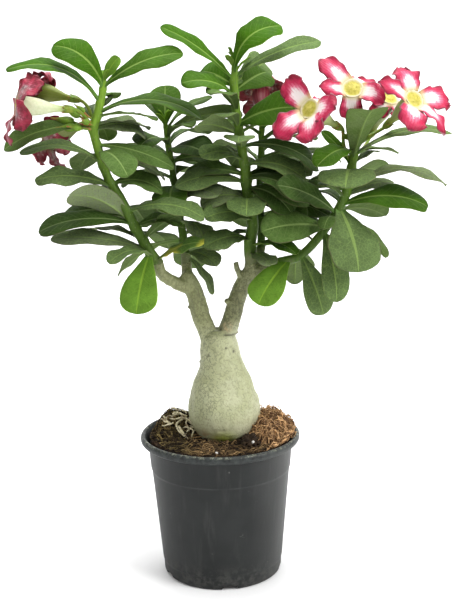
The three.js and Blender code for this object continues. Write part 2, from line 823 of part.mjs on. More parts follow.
// outside of the pot, from the middle of the underside up to the lip, then the inside
const POT_PROFILE = [
  [0, 0],
  [FOOT_RADIUS - 1.5, 0],
  [FOOT_RADIUS, 1.5],
  [FOOT_RADIUS + 0.6, FOOT_HEIGHT - 0.6],
  [FOOT_RADIUS + 1.2, FOOT_HEIGHT + 0.6],
  [SHOULDER_RADIUS, SHOULDER_HEIGHT - 0.8],
  [SHOULDER_RADIUS + SHOULDER_STEP, SHOULDER_HEIGHT + 0.8],
  [WALL_TOP_RADIUS, POT_HEIGHT - RIM_DEPTH - 1],
  [RIM_RADIUS - 1.8, POT_HEIGHT - RIM_DEPTH],
  [RIM_RADIUS, POT_HEIGHT - RIM_DEPTH + 2],
  [RIM_RADIUS, POT_HEIGHT - 2],
  [RIM_RADIUS - 1.6, POT_HEIGHT],
  [RIM_RADIUS - 3.6, POT_HEIGHT],
  [WALL_TOP_RADIUS - POT_WALL + 0.4, POT_HEIGHT - RIM_DEPTH - 1],
  [SHOULDER_RADIUS - POT_WALL, SHOULDER_HEIGHT],
  [FOOT_RADIUS - POT_WALL, POT_FLOOR + 1],
  [FOOT_RADIUS - POT_WALL - 1.2, POT_FLOOR],
  [0, POT_FLOOR],
];

// A body turned about Z from (radius, height) points.
function turned(profile) {
  const points = profile.map(([radius, height]) => new THREE.Vector2(radius, height));
  const geometry = new THREE.LatheGeometry(points, POT_SIDES);
  geometry.rotateX(Math.PI / 2);
  return geometry;
}

function drainNotch(angle) {
  const half = NOTCH_WIDTH / 2;
  const shape = new THREE.Shape();
  shape.moveTo(-half, -1);
  shape.lineTo(half, -1);
  shape.quadraticCurveTo(half, NOTCH_HEIGHT, 0, NOTCH_HEIGHT);
  shape.quadraticCurveTo(-half, NOTCH_HEIGHT, -half, -1);
  const depth = 12;
  const geometry = new THREE.ExtrudeGeometry(shape, { depth, bevelEnabled: false, curveSegments: 4 });
  geometry.rotateX(Math.PI / 2);
  geometry.translate(0, 60, 0);
  geometry.rotateZ((angle - 90) * RAD);
  return geometryToSolid(geometry);
}

function pot() {
  let solid = geometryToSolid(turned(POT_PROFILE));
  for (let i = 0; i < NOTCH_COUNT; i += 1) {
    solid = solid.subtract(drainNotch(NOTCH_FIRST_ANGLE + (360 / NOTCH_COUNT) * i));
  }
  return oneBody(solid);
}

// ---------------------------------------------------------------- soil, roots and coir

// height of the soil's surface, with a mound at the left and small crumbs
function soilHeight(x, y) {
  const dx = x - MOUND_CENTRE[0];
  const dy = y - MOUND_CENTRE[1];
  const mound = MOUND_HEIGHT * Math.exp(-(dx * dx + dy * dy) / (2 * MOUND_SPREAD ** 2));
  const crumbs = Math.sin(0.41 * x + 1.3) * Math.cos(0.37 * y) + 0.6 * Math.sin(0.83 * (x - y));
  const edge = Math.min(1, Math.max(0, (64.5 - Math.hypot(x, y)) / 8));
  return SOIL_LEVEL + (mound + 0.9 * crumbs) * edge + 2 * (1 - edge);
}

const SOIL_TOP_RADII = [65.2, 58, 48, 38, 27, 14];

function soilBody() {
  const inner = POT_PROFILE.slice(13, 18).reverse();
  const sides = inner.map(([radius, height]) => {
    const narrower = radius > 0 ? radius - SOIL_GAP : 0;
    return [narrower, height === POT_FLOOR ? height + SOIL_GAP : height];
  });
  const top = SOIL_TOP_RADII.map((radius) => [radius, SOIL_LEVEL]);
  const geometry = turned([...sides, ...top, [0, SOIL_LEVEL]]);
  const position = geometry.attributes.position;
  for (let i = 0; i < position.count; i += 1) {
    const [x, y, z] = [position.getX(i), position.getY(i), position.getZ(i)];
    if (Math.abs(z - SOIL_LEVEL) < 1e-3) position.setZ(i, soilHeight(x, y));
  }
  return geometryToSolid(geometry);
}

// a point of a root, `lift` above the soil's surface
function onSoil(x, y, lift, radius) {
  return [x, y, soilHeight(x, y) + lift, radius];
}

function surfaceRoots() {
  const main = [
    onSoil(-20, 2, 1.5, 2.2),
    onSoil(-29, 8, 1.2, 2),
    onSoil(-38, 17, 1, 1.8),
    onSoil(-47, 30, 0.6, 1.4),
  ];
  const side = [onSoil(-30, 9, 1, 1.7), onSoil(-41, 6, 1, 1.5), onSoil(-52, 8, 0.5, 1.2)];
  const low = [onSoil(-37, 7, 1, 1.6), onSoil(-38, -5, 0.9, 1.5), onSoil(-30, -17, 0.6, 1.3)];
  return [bar(main, 5, 6), bar(side, 5, 4), bar(low, 5, 4)];
}

// A heap of matted fibre with some loops that stand out of it.
function coirHeap() {
  const draw = seeded(7);
  const sectors = 18;
  const levels = [[1, -4], [1, 1], [0.86, 8], [0.6, 13.5], [0.28, COIR_HEIGHT]];
  const sections = levels.map(([share, height]) => {
    const ring = [];
    for (let j = 0; j < sectors; j += 1) {
      const angle = (2 * Math.PI * j) / sectors;
      const rough = share + (height > 0 ? 0.1 * (draw() - 0.5) : 0);
      const x = COIR_CENTRE[0] + COIR_RADII[0] * rough * Math.cos(angle);
      const y = COIR_CENTRE[1] + COIR_RADII[1] * rough * Math.sin(angle);
      const inward = Math.min(1, COIR_REACH / Math.hypot(x, y));
      const bump = height > 0 ? 2.4 * (draw() - 0.5) : 0;
      ring.push(vec([x * inward, y * inward, SOIL_LEVEL + height + bump]));
    }
    return ring;
  });
  const solids = [loft(sections)];
  for (let i = 0; i < 4; i += 1) {
    const angle = 2.4 * i;
    const away = 0.45 + 0.3 * draw();
    const x = COIR_CENTRE[0] + COIR_RADII[0] * away * Math.cos(angle);
    const y = COIR_CENTRE[1] + COIR_RADII[1] * away * Math.sin(angle);
    const heading = 360 * draw();
    const half = bearing(heading, 0).multiplyScalar(8 + 4 * draw());
    const low = SOIL_LEVEL + 6;
    const high = SOIL_LEVEL + 16 + 4 * draw();
    const loop = [
      [x - half.x, y - half.y, low, 0.8],
      [x - half.x * 0.5, y - half.y * 0.5, high, 0.8],
      [x + half.x * 0.5, y + half.y * 0.5, high, 0.8],
      [x + half.x, y + half.y, low, 0.8],
    ];
    solids.push(bar(loop, 4, 5));
  }
  return fuse(solids);
}

// ---------------------------------------------------------------- the finished model

const COLOURS = {
  pot: { color: 0x3d3f3e, roughness: 0.5 },
  soil: { color: 0x2b2019, roughness: 0.95 },
  coir: { color: 0x6b3d22, roughness: 0.9 },
  root: { color: 0xcdbf9c, roughness: 0.7 },
  bark: { color: 0xa9b08f, roughness: 0.7 },
  leaf: { color: 0x3f6b2a, roughness: 0.45 },
  petal: { color: 0xe0557f, roughness: 0.5 },
};

const plant = new THREE.Group();

function place(name, solid, finish) {
  const mesh = solid.getMesh();
  const geometry = new THREE.BufferGeometry();
  const positions = [];
  for (let i = 0; i < mesh.numVert; i += 1) {
    const at = i * mesh.numProp;
    positions.push(...mesh.vertProperties.slice(at, at + 3));
  }
  geometry.setAttribute('position', new THREE.Float32BufferAttribute(positions, 3));
  geometry.setIndex(Array.from(mesh.triVerts));
  const material = new THREE.MeshStandardMaterial({ ...COLOURS[finish], metalness: 0 });
  const piece = new THREE.Mesh(geometry, material);
  piece.name = name;
  plant.add(piece);
}

const caudexTool = caudexBody(SEAT_GAP + 0.05);
const soil = oneBody(soilBody().subtract(caudexTool));
const raisedSoil = soilBody().translate([0, 0, SEAT_GAP]);
const roots = fuse(surfaceRoots()).subtract(raisedSoil).subtract(caudexTool);
const coir = coirHeap().subtract(raisedSoil).subtract(caudexTool);

place('pot', pot(), 'pot');
place('soil', soil, 'soil');
place('caudex', caudex(), 'bark');
place('surface_roots', oneBody(roots), 'root');
place('coir_heap', oneBody(coir), 'coir');

addHiddenLeaves();
for (const name of Object.keys(STEMS)) {
  place(name, leafyStem(name), 'leaf');
}
Object.entries(BLOOMS).forEach(([name, bloom], i) => {
  place(name, corolla(bloom, 100 + i), 'petal');
});

export default plant;
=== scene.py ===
"""Looks of a potted desert rose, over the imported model. Sizes in the tables are millimetres."""

from math import copysign, cos, exp, hypot, pi, radians, sin, sqrt

import bpy
from mathutils import Matrix, Vector, noise


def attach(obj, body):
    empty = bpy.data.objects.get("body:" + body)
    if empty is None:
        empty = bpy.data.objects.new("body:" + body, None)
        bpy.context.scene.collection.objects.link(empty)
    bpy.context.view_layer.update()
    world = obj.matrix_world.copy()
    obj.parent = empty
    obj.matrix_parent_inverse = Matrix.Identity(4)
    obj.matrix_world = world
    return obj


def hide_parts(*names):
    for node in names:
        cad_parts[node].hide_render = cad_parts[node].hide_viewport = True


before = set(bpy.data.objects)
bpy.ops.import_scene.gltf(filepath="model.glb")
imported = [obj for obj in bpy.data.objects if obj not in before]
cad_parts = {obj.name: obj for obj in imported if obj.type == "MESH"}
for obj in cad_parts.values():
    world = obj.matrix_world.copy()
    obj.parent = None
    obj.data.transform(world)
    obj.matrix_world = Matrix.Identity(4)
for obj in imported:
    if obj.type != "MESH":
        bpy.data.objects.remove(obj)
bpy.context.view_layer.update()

MM = 0.001
BLACK = (0.0, 0.0, 0.0)
GOLDEN_ANGLE = 137.5
TURN = 2 * pi
UP = Vector((0, 0, 1))

# ------------ camera

EYE = Vector((10, -1000, 470)) * MM
PITCH = 0.2065  # radians below the horizon
ROLL = -0.0203
ahead = Vector((0, cos(PITCH), -sin(PITCH)))
over = Vector((0, sin(PITCH), cos(PITCH)))
side = Vector((1, 0, 0))
right = side * cos(ROLL) + over * sin(ROLL)
upward = -side * sin(ROLL) + over * cos(ROLL)
camera = bpy.data.objects.new("camera", bpy.data.cameras.new("camera"))
bpy.context.scene.collection.objects.link(camera)
axes = Matrix((right, upward, -ahead)).transposed()
camera.matrix_world = Matrix.Translation(EYE) @ axes.to_4x4()
camera.data.lens = 66.26
camera.data.sensor_width = 36
bpy.context.scene.camera = camera
bpy.context.scene.view_settings.view_transform = "Standard"

# ------------ sizes
# Most are those of the part's source. The heap of coir, the top of the swollen base and the
# lobes of the faded bloom at the back are a little smaller here.

SOIL_LEVEL = 131
MOUND_CENTRE = (-47, 20)
MOUND_SPREAD = 19
MOUND_HEIGHT = 17
COIR_CENTRE = (45, 2)
COIR_SPREAD = (25, 41)

# height, centre x and radius of the swollen base
CAUDEX_RINGS = [
    (104, 2, 15), (122, 2, 17.5), (130, 3, 21.5), (137, 4, 27.5), (145, 4.5, 32), (155, 4.5, 34),
    (164, 4, 33), (174, 3, 30.5), (185, 3.2, 27.2), (197, 3.5, 22), (209, 2.5, 18.6),
    (221, 1.5, 17.6), (230, 0.5, 15.2), (234, 0.5, 10),
]

# grey branches and snags: x, y, z, radius
BRANCHES = [
    [(-6, 0, 220, 9.5), (-15, 1, 247, 8.8), (-21, 2, 270, 8.2), (-27, 3, 283, 7.4),
     (-31, 3, 287, 6.4)],
    [(-24, 1, 272, 6), (-40, -6, 281, 5.6), (-50, -12, 290, 5.4), (-53, -14, 300, 5.2)],
    [(-24, 3, 276, 5.4), (-27, 8, 285, 5), (-28, 11, 294, 4.8)],
    [(5, 0, 222, 9.4), (14, 0, 247, 8.6), (18, 0, 262, 8), (25, 1, 278, 7.6), (31, 1, 288, 6.6)],
    [(26, 0, 280, 6.6), (31, 0, 288, 6.2), (32, 0, 295, 6)],
    [(27, 0, 281, 6), (37, -1, 287, 5.6), (47, -3, 292.1, 5.3)],
    [(28, 2, 281, 5.4), (37, 9, 287, 5), (40, 12, 295, 4.6)],
    [(24, 0, 279, 3.4), (19, -3, 291, 2.8), (18, -3, 296, 2.6)],
    [(15, -2, 256, 3.4), (8, -6, 263, 2.8)],
]

# outside of the pot, from the middle of the underside up to the lip, then the inside
POT_PROFILE = [
    (0, 0), (54.5, 0), (56, 1.5), (56.6, 11.9), (57.2, 13.1), (65.2, 101.2), (66, 102.8),
    (68, 126.6), (73.2, 127.6), (75, 129.6), (75, 133), (73.4, 135), (71.4, 135), (66.6, 126.6),
    (63.4, 102), (54.2, 3.8), (53, 2.8), (0, 2.8),
]

LIP_TOP = 135.8  # where fibres lie on the lip
# drain notches in the foot: outline, and the bearing of the first
NOTCHES = 5
FIRST_NOTCH = -83
NOTCH_ARCH = [(-7.5, -1), (-7.3, 1.6), (-6, 3.3), (-3.4, 4.3), (0, 4.6), (3.4, 4.3), (6, 3.3),
              (7.3, 1.6), (7.5, -1)]

LOBES = 5
TUBE_NECK_RADIUS = 2.6
TUBE_MOUTH_RADIUS = 8.6
LOBE_LENGTH = 26
LOBE_HALF_WIDTH = 13
CALYX_LENGTH = 9
PEDICEL_RADIUS = 1.5
SEAT_GAP = 0.3
PETAL_SKIN = 0.28  # half the thickness of a lobe
FRONT = -89.8  # no petal comes further forward

# A leaf: height on its stem, azimuth, rise, length, width, arch, roll and sometimes fold.
# `looks` gives each leaf of the table a letter: b bright green, g fresh green, e deep green,
# l light, m middle, d dark, p dull and pale, y yellowing. The letters give each leaf its own
# tone and painted light and shade as well: leaves in shade among the others have darker
# letters, and leaves out in the light lighter ones.
STEMS = {
    "left_stem": {
        "line": [
            (-53, -14, 300.3, 5), (-59, -15, 310, 4.7), (-70, -16, 330, 4.5), (-84, -18, 360, 4.3),
            (-94, -18, 378, 4.1), (-103, -18, 409, 3.9), (-105, -18, 422, 3.8),
            (-101, -18, 433, 3.7), (-97, -17, 446, 3.5), (-94, -16, 464, 2),
        ],
        "leaves": [
            (456, -173, 42, 56, 30, 16, -55, 8), (461, -29, 51, 27, 14, 2, 80),
            (456, -4, 22, 77, 26, 9, 45, 8), (444, -173, 20, 85, 28, 17, -20),
            (422, -170, -12, 80, 30, 9, -30), (390, -172, 9, 73, 28, 12, -15),
            (396, 116, -14, 63, 28, 8, 0), (370, -170, 7, 69, 31, 7, -25),
            (333, -147, 28, 72, 35, 12, 40, 10), (343, 153, -4, 77, 30, 9, -35),
            (336, -172, -2, 85, 33, 9, -25), (311, -176, 9, 89, 31, 6, -18),
            (321, 152, 5, 63, 24, 6, 0), (305, -133, 3, 54, 24, 9, -10),
            (310, -112, -57, 60, 38, 4, 0, 8), (432, -20, -3, 58, 22, 4, -8),
            (425, 23, -7, 52, 22, 5, 0), (435, 3, -4, 93, 31, 14, 22), (447, 83, 0, 50, 20, 4, 0),
            (427, 82, -22, 49, 22, 5, 0), (407, -8, -17, 72, 24, 6, 32),
            (400, -56, -19, 53, 30, 8, 10), (420, 27, -6, 50, 32, 8, 30),
            (347, -19, -2, 74, 28, 10, 22, 8), (321, 0, 33, 42, 24, 4, -40),
            (302, -33, 22, 56, 26, 4, 25), (388, 22, -14, 58, 32, 8, 20),
            (372, 6, -10, 46, 32, 8, 28), (333, 18, -2, 44, 28, 8, 20),
        ],
        "looks": "gbegmlmlpddpplbmpegemmpldypmm",
        "fill": (10, 325, 440, 70),
    },
    "centre_stem": {
        "line": [
            (32, 0, 295.3, 5.8), (31, 0, 312, 5.6), (34, 0, 333, 5.2), (30, 0, 353, 4.9),
            (28, 0, 381, 4.6), (23, -1, 412, 4.3), (20, -3, 443, 3.8), (19, -3, 460, 3.4),
            (21, -3, 476, 2),
        ],
        "leaves": [
            (467, -7, 43, 58, 33, 18, 50, 10), (460, -173, 37, 79, 22, 5, -35),
            (472, -153, 69, 18, 7, 1, 0), (463, -3, 21, 82, 28, 6, 28, 10),
            (457, 55, 20, 55, 30, 6, 60), (450, 40, 23, 42, 32, 6, 50),
            (421, -22, 16, 56, 40, 6, 50, 8), (432, -115, 20, 53, 26, 8, -10),
            (445, -147, 15, 57, 30, 8, -35), (455, 138, 17, 43, 30, 6, -45),
            (419, -106, 13, 54, 20, 6, 0), (413, -139, 12, 50, 24, 5, 40),
            (399, -94, 11, 53, 28, 8, 0), (388, -144, 10, 48, 30, 7, -25),
            (375, 172, -1, 58, 32, 8, -25), (354, -93, -10, 49, 36, 6, 0, 12),
            (317, -144, -1, 52, 30, 7, -22), (334, -143, 9, 54, 30, 8, -30),
            (402, 1, -17, 74, 34, 11, 25), (385, -12, -13, 57, 32, 9, 28),
            (372, -37, -14, 60, 32, 9, 15), (311, -38, -2, 52, 26, 7, 5),
            (304, -62, -8, 36, 24, 4, 0), (369, -168, 0, 66, 36, 8, -22),
            (353, -170, -3, 44, 34, 8, -26), (374, 8, -12, 46, 36, 8, 22),
            (359, -12, -8, 58, 36, 8, 26), (364, -36, -22, 52, 34, 8, 20),
        ],
        "looks": "ggglleemegllllmllldldeplpdmd",
        "fill": (10, 325, 440, 100),
    },
    "right_stem": {
        "line": [
            (47.3, -3, 292.4, 5), (58, -6, 297, 4.5), (76, -10, 303, 4), (98, -14, 327, 3.9),
            (112, -16, 349, 4), (119, -17, 367, 3.9), (122, -18, 385, 3.8), (124, -18, 407, 3.2),
        ],
        "leaves": [
            (389, -78, 44, 67, 38, 3, 4, 24), (383, -172, 50, 42, 14, 3, -45),
            (393, -3, 13, 89, 26, 10, 10), (396, 32, -4, 52, 16, 4, 0),
            (384, 31, 23, 32, 16, 3, 0), (396, -129, -8, 58, 26, 8, -20),
            (379, -101, -8, 58, 50, 7, 0, 8), (361, -3, 3, 89, 30, 18, 10, 8),
            (356, 26, 11, 55, 28, 5, 15), (349, -9, 0, 78, 38, 10, 28, 8),
            (347, -66, -56, 64, 56, 5, -5, 6), (341, 34, -36, 78, 18, 8, 0),
            (304, -17, -69, 59, 28, 6, 60), (326, -56, -73, 66, 27, 8, 20),
            (339, -110, -11, 33, 16, 4, 0), (342, -147, 26, 70, 30, 5, -50),
            (356, -126, 21, 45, 12, 3, -10), (329, -150, 3, 68, 36, 6, -45),
            (300, -140, -42, 54, 34, 5, -25, 8), (302, 91, -51, 38, 20, 5, 0),
            (362, 128, 6, 50, 28, 5, -30),
        ],
        "looks": "melllelppelmllmddmbld",
        "fill": (8, 320, 392, 60),
    },
    "back_left_stem": {
        "line": [
            (-28, 11, 294.3, 4.4), (-30, 16, 316, 3.8), (-35, 24, 347, 3.4), (-39, 30, 379, 3.1),
            (-43, 34, 407, 2.9), (-45, 36, 426, 2),
        ],
        "leaves": [
            (421, 90, 66, 39, 30, 3, 0), (416, -10, 34, 53, 24, 6, 20),
            (396, -52, 0, 58, 37, 7, 20), (402, -119, 4, 48, 32, 7, -15),
            (409, -51, 17, 41, 22, 5, 10), (356, -49, 4, 60, 34, 7, 18),
            (303, -41, -10, 40, 26, 6, 10), (303, -22, -52, 46, 18, 3, 0),
            (364, -92, -16, 60, 34, 8, 8), (331, -60, -14, 46, 30, 8, -10),
            (386, 6, -6, 48, 30, 8, 28), (372, -176, -6, 50, 34, 8, -10),
        ],
        "looks": "emddmpppepml",
        "fill": (20, 310, 420, 20),
    },
    "back_stem": {
        "line": [
            (40, 12, 295.3, 4.2), (42, 20, 314, 3.7), (42, 32, 341, 3.4), (42, 42, 368, 3.2),
            (44, 47, 395, 3), (45, 49, 426, 2.4),
        ],
        "leaves": [
            (345, -52, -10, 60, 32, 8, 15), (352, -146, -8, 62, 30, 8, -25),
            (333, -25, -7, 60, 33, 8, 12),
        ],
        "looks": "dmd",
        "fill": (22, 310, 420, 0),
    },
}

# Blooms: stem, stalk, neck and mouth of the tube, turn, slope and curl of the lobes, size.
BLOOMS = {
    "bloom_front": ("right_stem", [(119, -18, 388), (114, -22, 404)],
        (107, -31, 420), (81, -58, 436), 8, 30, 18, 1),
    "bloom_middle": ("right_stem", [(124, -18, 400), (122, -14, 414)],
        (121, -12, 431), (119, -46, 452), 8, 32, 20, 1),
    "bloom_right": ("right_stem", [(124, -18, 400), (138, -18, 410)],
        (154, -20, 421), (171, -50, 442), 0, 30, 20, 1),
    "bloom_behind": ("right_stem", [(124, -16, 396), (134, 10, 396)],
        (147, 30, 412), (158, 8, 442), 36, 30, 20, 0.85),
    "bloom_back": ("back_stem", [(45, 48, 417), (45, 51, 423)],
        (45, 54, 429), (46, 82, 446), 20, 35, 22, 1),
    "bloom_left": ("left_stem", [(-105, -18, 420), (-110, -27, 431)],
        (-126, -37, 439), (-166, -47, 443), 0, 2, 26, 1),
    "bloom_left_upper": ("left_stem", [(-104, -18, 425), (-110, -12, 440)],
        (-124, -6, 447), (-160, 8, 455), 40, -12, 58, 0.8),
    "bloom_left_lower": ("left_stem", [(-105, -16, 416), (-109, -8, 424)],
        (-117, -2, 423), (-150, 12, 409), 60, 10, 24, 0.9),
}

# Lobes placed by themselves: angle from the top, tilt, shares of the length and the width.
LOBE_ROWS = {
    "bloom_front": [(50, 0, 1.05, 1), (140, -2, 1.05, 1.05),
        (216, 5, 1.15, 1.05), (266, 0, 1.05, 1), (334, -100, 0.55, 0.75)],
    "bloom_middle": [(45, -10, 1.12, 0.8), (99, 6, 0.8, 0.6),
        (175, -60, 0.7, 0.8), (253, -18, 0.82, 0.85), (325, -80, 0.9, 0.8)],
    "bloom_right": [(5, -10, 0.88, 1.05), (62, -15, 1, 0.6),
        (147, 0, 1, 1.1), (206, 0, 1.25, 0.55), (266, 0, 1.05, 1)],
    "bloom_behind": [(50, 0, 1.2, 0.8), (125, -80, 0.7, 0.8),
        (200, -85, 0.6, 0.7), (270, -80, 0.6, 0.7), (345, -30, 0.8, 0.8)],
    "bloom_back": [(56, -10, 0.6, 0.85), (128, 0, 0.95, 1),
        (200, 0, 0.95, 0.95), (272, 0, 0.75, 0.9), (344, -15, 0.5, 0.8)],
    "bloom_left_lower": [(30, -30, 0.8, 0.9), (105, 0, 0.9, 0.9),
        (185, 5, 0.95, 0.7), (236, 10, 1, 0.75), (292, -85, 1.1, 1.1)],
}
# degrees by which the upper lobes lean further back, and the lower ones further forward
LEANS = {"bloom_left": 32}

# ------------ small tools


def seeded(seed):
    """The same seeded numbers from 0 to 1 as the part's source draws."""
    state = seed & 0xFFFFFFFF

    def draw():
        nonlocal state
        state = (state + 0x6D2B79F5) & 0xFFFFFFFF
        t = ((state ^ (state >> 15)) * (state | 1)) & 0xFFFFFFFF
        t ^= (t + (((t ^ (t >> 7)) * (t | 61)) & 0xFFFFFFFF)) & 0xFFFFFFFF
        return ((t ^ (t >> 14)) & 0xFFFFFFFF) / 4294967296

    return draw


def clamp(value, low=0.0, high=1.0):
    return max(low, min(high, value))


def smooth(value, low=0.0, high=1.0):
    t = clamp((value - low) / (high - low))
    return t * t * (3 - 2 * t)


def mixed(a, b, t):
    return a + (b - a) * t


def polar(radius, angle):
    return radius * cos(angle), radius * sin(angle)


def bearing(azimuth, rise):
    a, r = radians(azimuth), radians(rise)
    return Vector((*polar(cos(r), a), sin(r)))


def step(x, y, heading, length):
    """The place a length away along a heading."""
    return x + length * cos(heading), y + length * sin(heading)


def turns(count):
    """Angles in even steps around a full turn."""
    return [TURN * j / count for j in range(count)]


def upright(axis):
    """Two directions square to the axis, the first as near to upward as can be."""
    across = (UP - axis * UP.dot(axis)).normalized()
    return across, axis.cross(across)


def cubic(start, end, m1, m2, w):
    """The smooth step from start to end, with slopes m1 and m2."""
    a = start * 2 - end * 2 + m1 + m2
    b = end * 3 - start * 3 - m1 * 2 - m2
    return ((a * w + b) * w + m1) * w + start


def curve_point(points, t):
    """A point of the smooth curve through the points, as the part's source draws it."""
    place = (len(points) - 1) * t
    k = min(int(place), len(points) - 2)
    w = place - k
    p1, p2 = points[k], points[k + 1]
    p0 = points[k - 1] if k > 0 else p1 * 2 - p2
    p3 = points[k + 2] if k + 2 < len(points) else p2 * 2 - p1
    d0, d1, d2 = (sqrt((b - a).length) for a, b in ((p0, p1), (p1, p2), (p2, p3)))
    m1 = ((p1 - p0) / d0 - (p2 - p0) / (d0 + d1) + (p2 - p1) / d1) * d1
    m2 = ((p2 - p1) / d1 - (p3 - p1) / (d1 + d2) + (p3 - p2) / d2) * d1
    return cubic(p1, p2, m1, m2, w)


def curve_value(rows, place):
    """A smooth value from rows of (place, value)."""
    k = 0
    while k < len(rows) - 2 and rows[k + 1][0] < place:
        k += 1
    low, high = rows[k], rows[k + 1]
    span = high[0] - low[0]
    before = rows[max(k - 1, 0)]
    after = rows[min(k + 2, len(rows) - 1)]
    w = clamp((place - low[0]) / span)
    m1 = (high[1] - before[1]) / (high[0] - before[0]) * span
    m2 = (after[1] - low[1]) / (after[0] - low[0]) * span
    return cubic(low[1], high[1], m1, m2, w)


class Shell:
    """Gathers points in millimetres, faces and two values for each point, for one piece."""

    def __init__(self):
        self.points = []
        self.faces = []
        self.place = []
        self.tone = []

    def add(self, point, place=(0, 0, 0), tone=(0, 0, 0)):
        self.points.append(point)
        self.place.append(place)
        self.tone.append(tone)
        return len(self.points) - 1

    def bridge(self, a, b):
        """Faces between two rings, one of which may be a single point."""
        count = max(len(a), len(b))
        for j in range(count):
            k = (j + 1) % count
            corners = (a[j % len(a)], a[k % len(a)], b[k % len(b)], b[j % len(b)])
            self.faces.append(tuple(dict.fromkeys(corners)))

    def strip(self, a, b):
        """Faces between two open rows of equal count."""
        for j in range(len(a) - 1):
            self.faces.append((a[j], a[j + 1], b[j + 1], b[j]))

    def close(self, rings):
        """Joins the rings in order, and caps the ends that aren't single points."""
        for a, b in zip(rings, rings[1:]):
            self.bridge(a, b)
        self.faces += [tuple(end) for end in (rings[0][::-1], rings[-1]) if len(end) > 1]

    def blade(self, upper, lower):
        """Joins both sides of a thin blade, whose rows share their end points."""
        for a, b in zip(upper, upper[1:]):
            self.strip(b, a)
        for a, b in zip(lower, lower[1:]):
            self.strip(a, b)
        self.faces.append(tuple(upper[0][:-1] + lower[0][:0:-1]))

    def tube(self, points, radii, sides, spans, tone=(0, 0, 0), shape=None):
        """A round bar with closed ends along a smooth curve. `shape` alters the radius."""
        line = [Vector(p) for p in points]
        across = None
        rings = []
        for i in range(spans + 1):
            t = i / spans
            centre = curve_point(line, t)
            along = curve_point(line, min(t + 0.01, 1)) - curve_point(line, max(t - 0.01, 0))
            along.normalize()
            place = t * (len(radii) - 1)
            k = min(int(place), len(radii) - 2)
            radius = mixed(radii[k], radii[k + 1], place - k)
            across = across or Vector((1, 0.2, 0.1))
            across = (across - along * across.dot(along)).normalized()
            other = along.cross(across)
            ring = []
            for j, angle in enumerate(turns(sides)):
                out = across * cos(angle) + other * sin(angle)
                reach = shape(out, centre, radius) if shape else radius
                ring.append(self.add(centre + out * reach, (t, j / sides, 1), tone))
            rings.append(ring)
        self.close(rings)
        return rings

    def make(self, name, material, nodes=()):
        mesh = bpy.data.meshes.new(name)
        mesh.from_pydata([p * MM for p in self.points], [], self.faces)
        for label, values in (("place", self.place), ("tone", self.tone)):
            layer = mesh.attributes.new(label, "FLOAT_VECTOR", "POINT")
            layer.data.foreach_set("vector", [c for value in values for c in value])
        mesh.materials.append(material)
        mesh.shade_smooth()
        return settle(bpy.data.objects.new(name, mesh), nodes)


def settle(piece, nodes=()):
    bpy.context.scene.collection.objects.link(piece)
    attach(piece, "root")
    if nodes:
        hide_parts(*nodes)
    return piece


def baked(piece, name, material, nodes=()):
    """The piece with its modifiers applied, as a new object."""
    graph = bpy.context.evaluated_depsgraph_get()
    mesh = bpy.data.meshes.new_from_object(piece.evaluated_get(graph))
    mesh.name = name
    mesh.materials.clear()
    mesh.materials.append(material)
    bpy.data.objects.remove(piece)
    return settle(bpy.data.objects.new(name, mesh), nodes)


# ------------ materials


def operation(name, swapped=False):
    """An operator between values, made of a math node."""

    def apply(self, other=0.0):
        pair = (other, self) if swapped else (self, other)
        return self.shader.math(name, *pair)

    return apply


class Value:
    """A value of a shader, which takes part in plain arithmetic."""

    def __init__(self, shader, socket):
        self.shader = shader
        self.socket = socket

    __add__ = __radd__ = operation("ADD")
    __sub__ = operation("SUBTRACT")
    __rsub__ = operation("SUBTRACT", True)
    __mul__ = operation("MULTIPLY")
    __pow__ = operation("POWER")
    __abs__ = operation("ABSOLUTE")


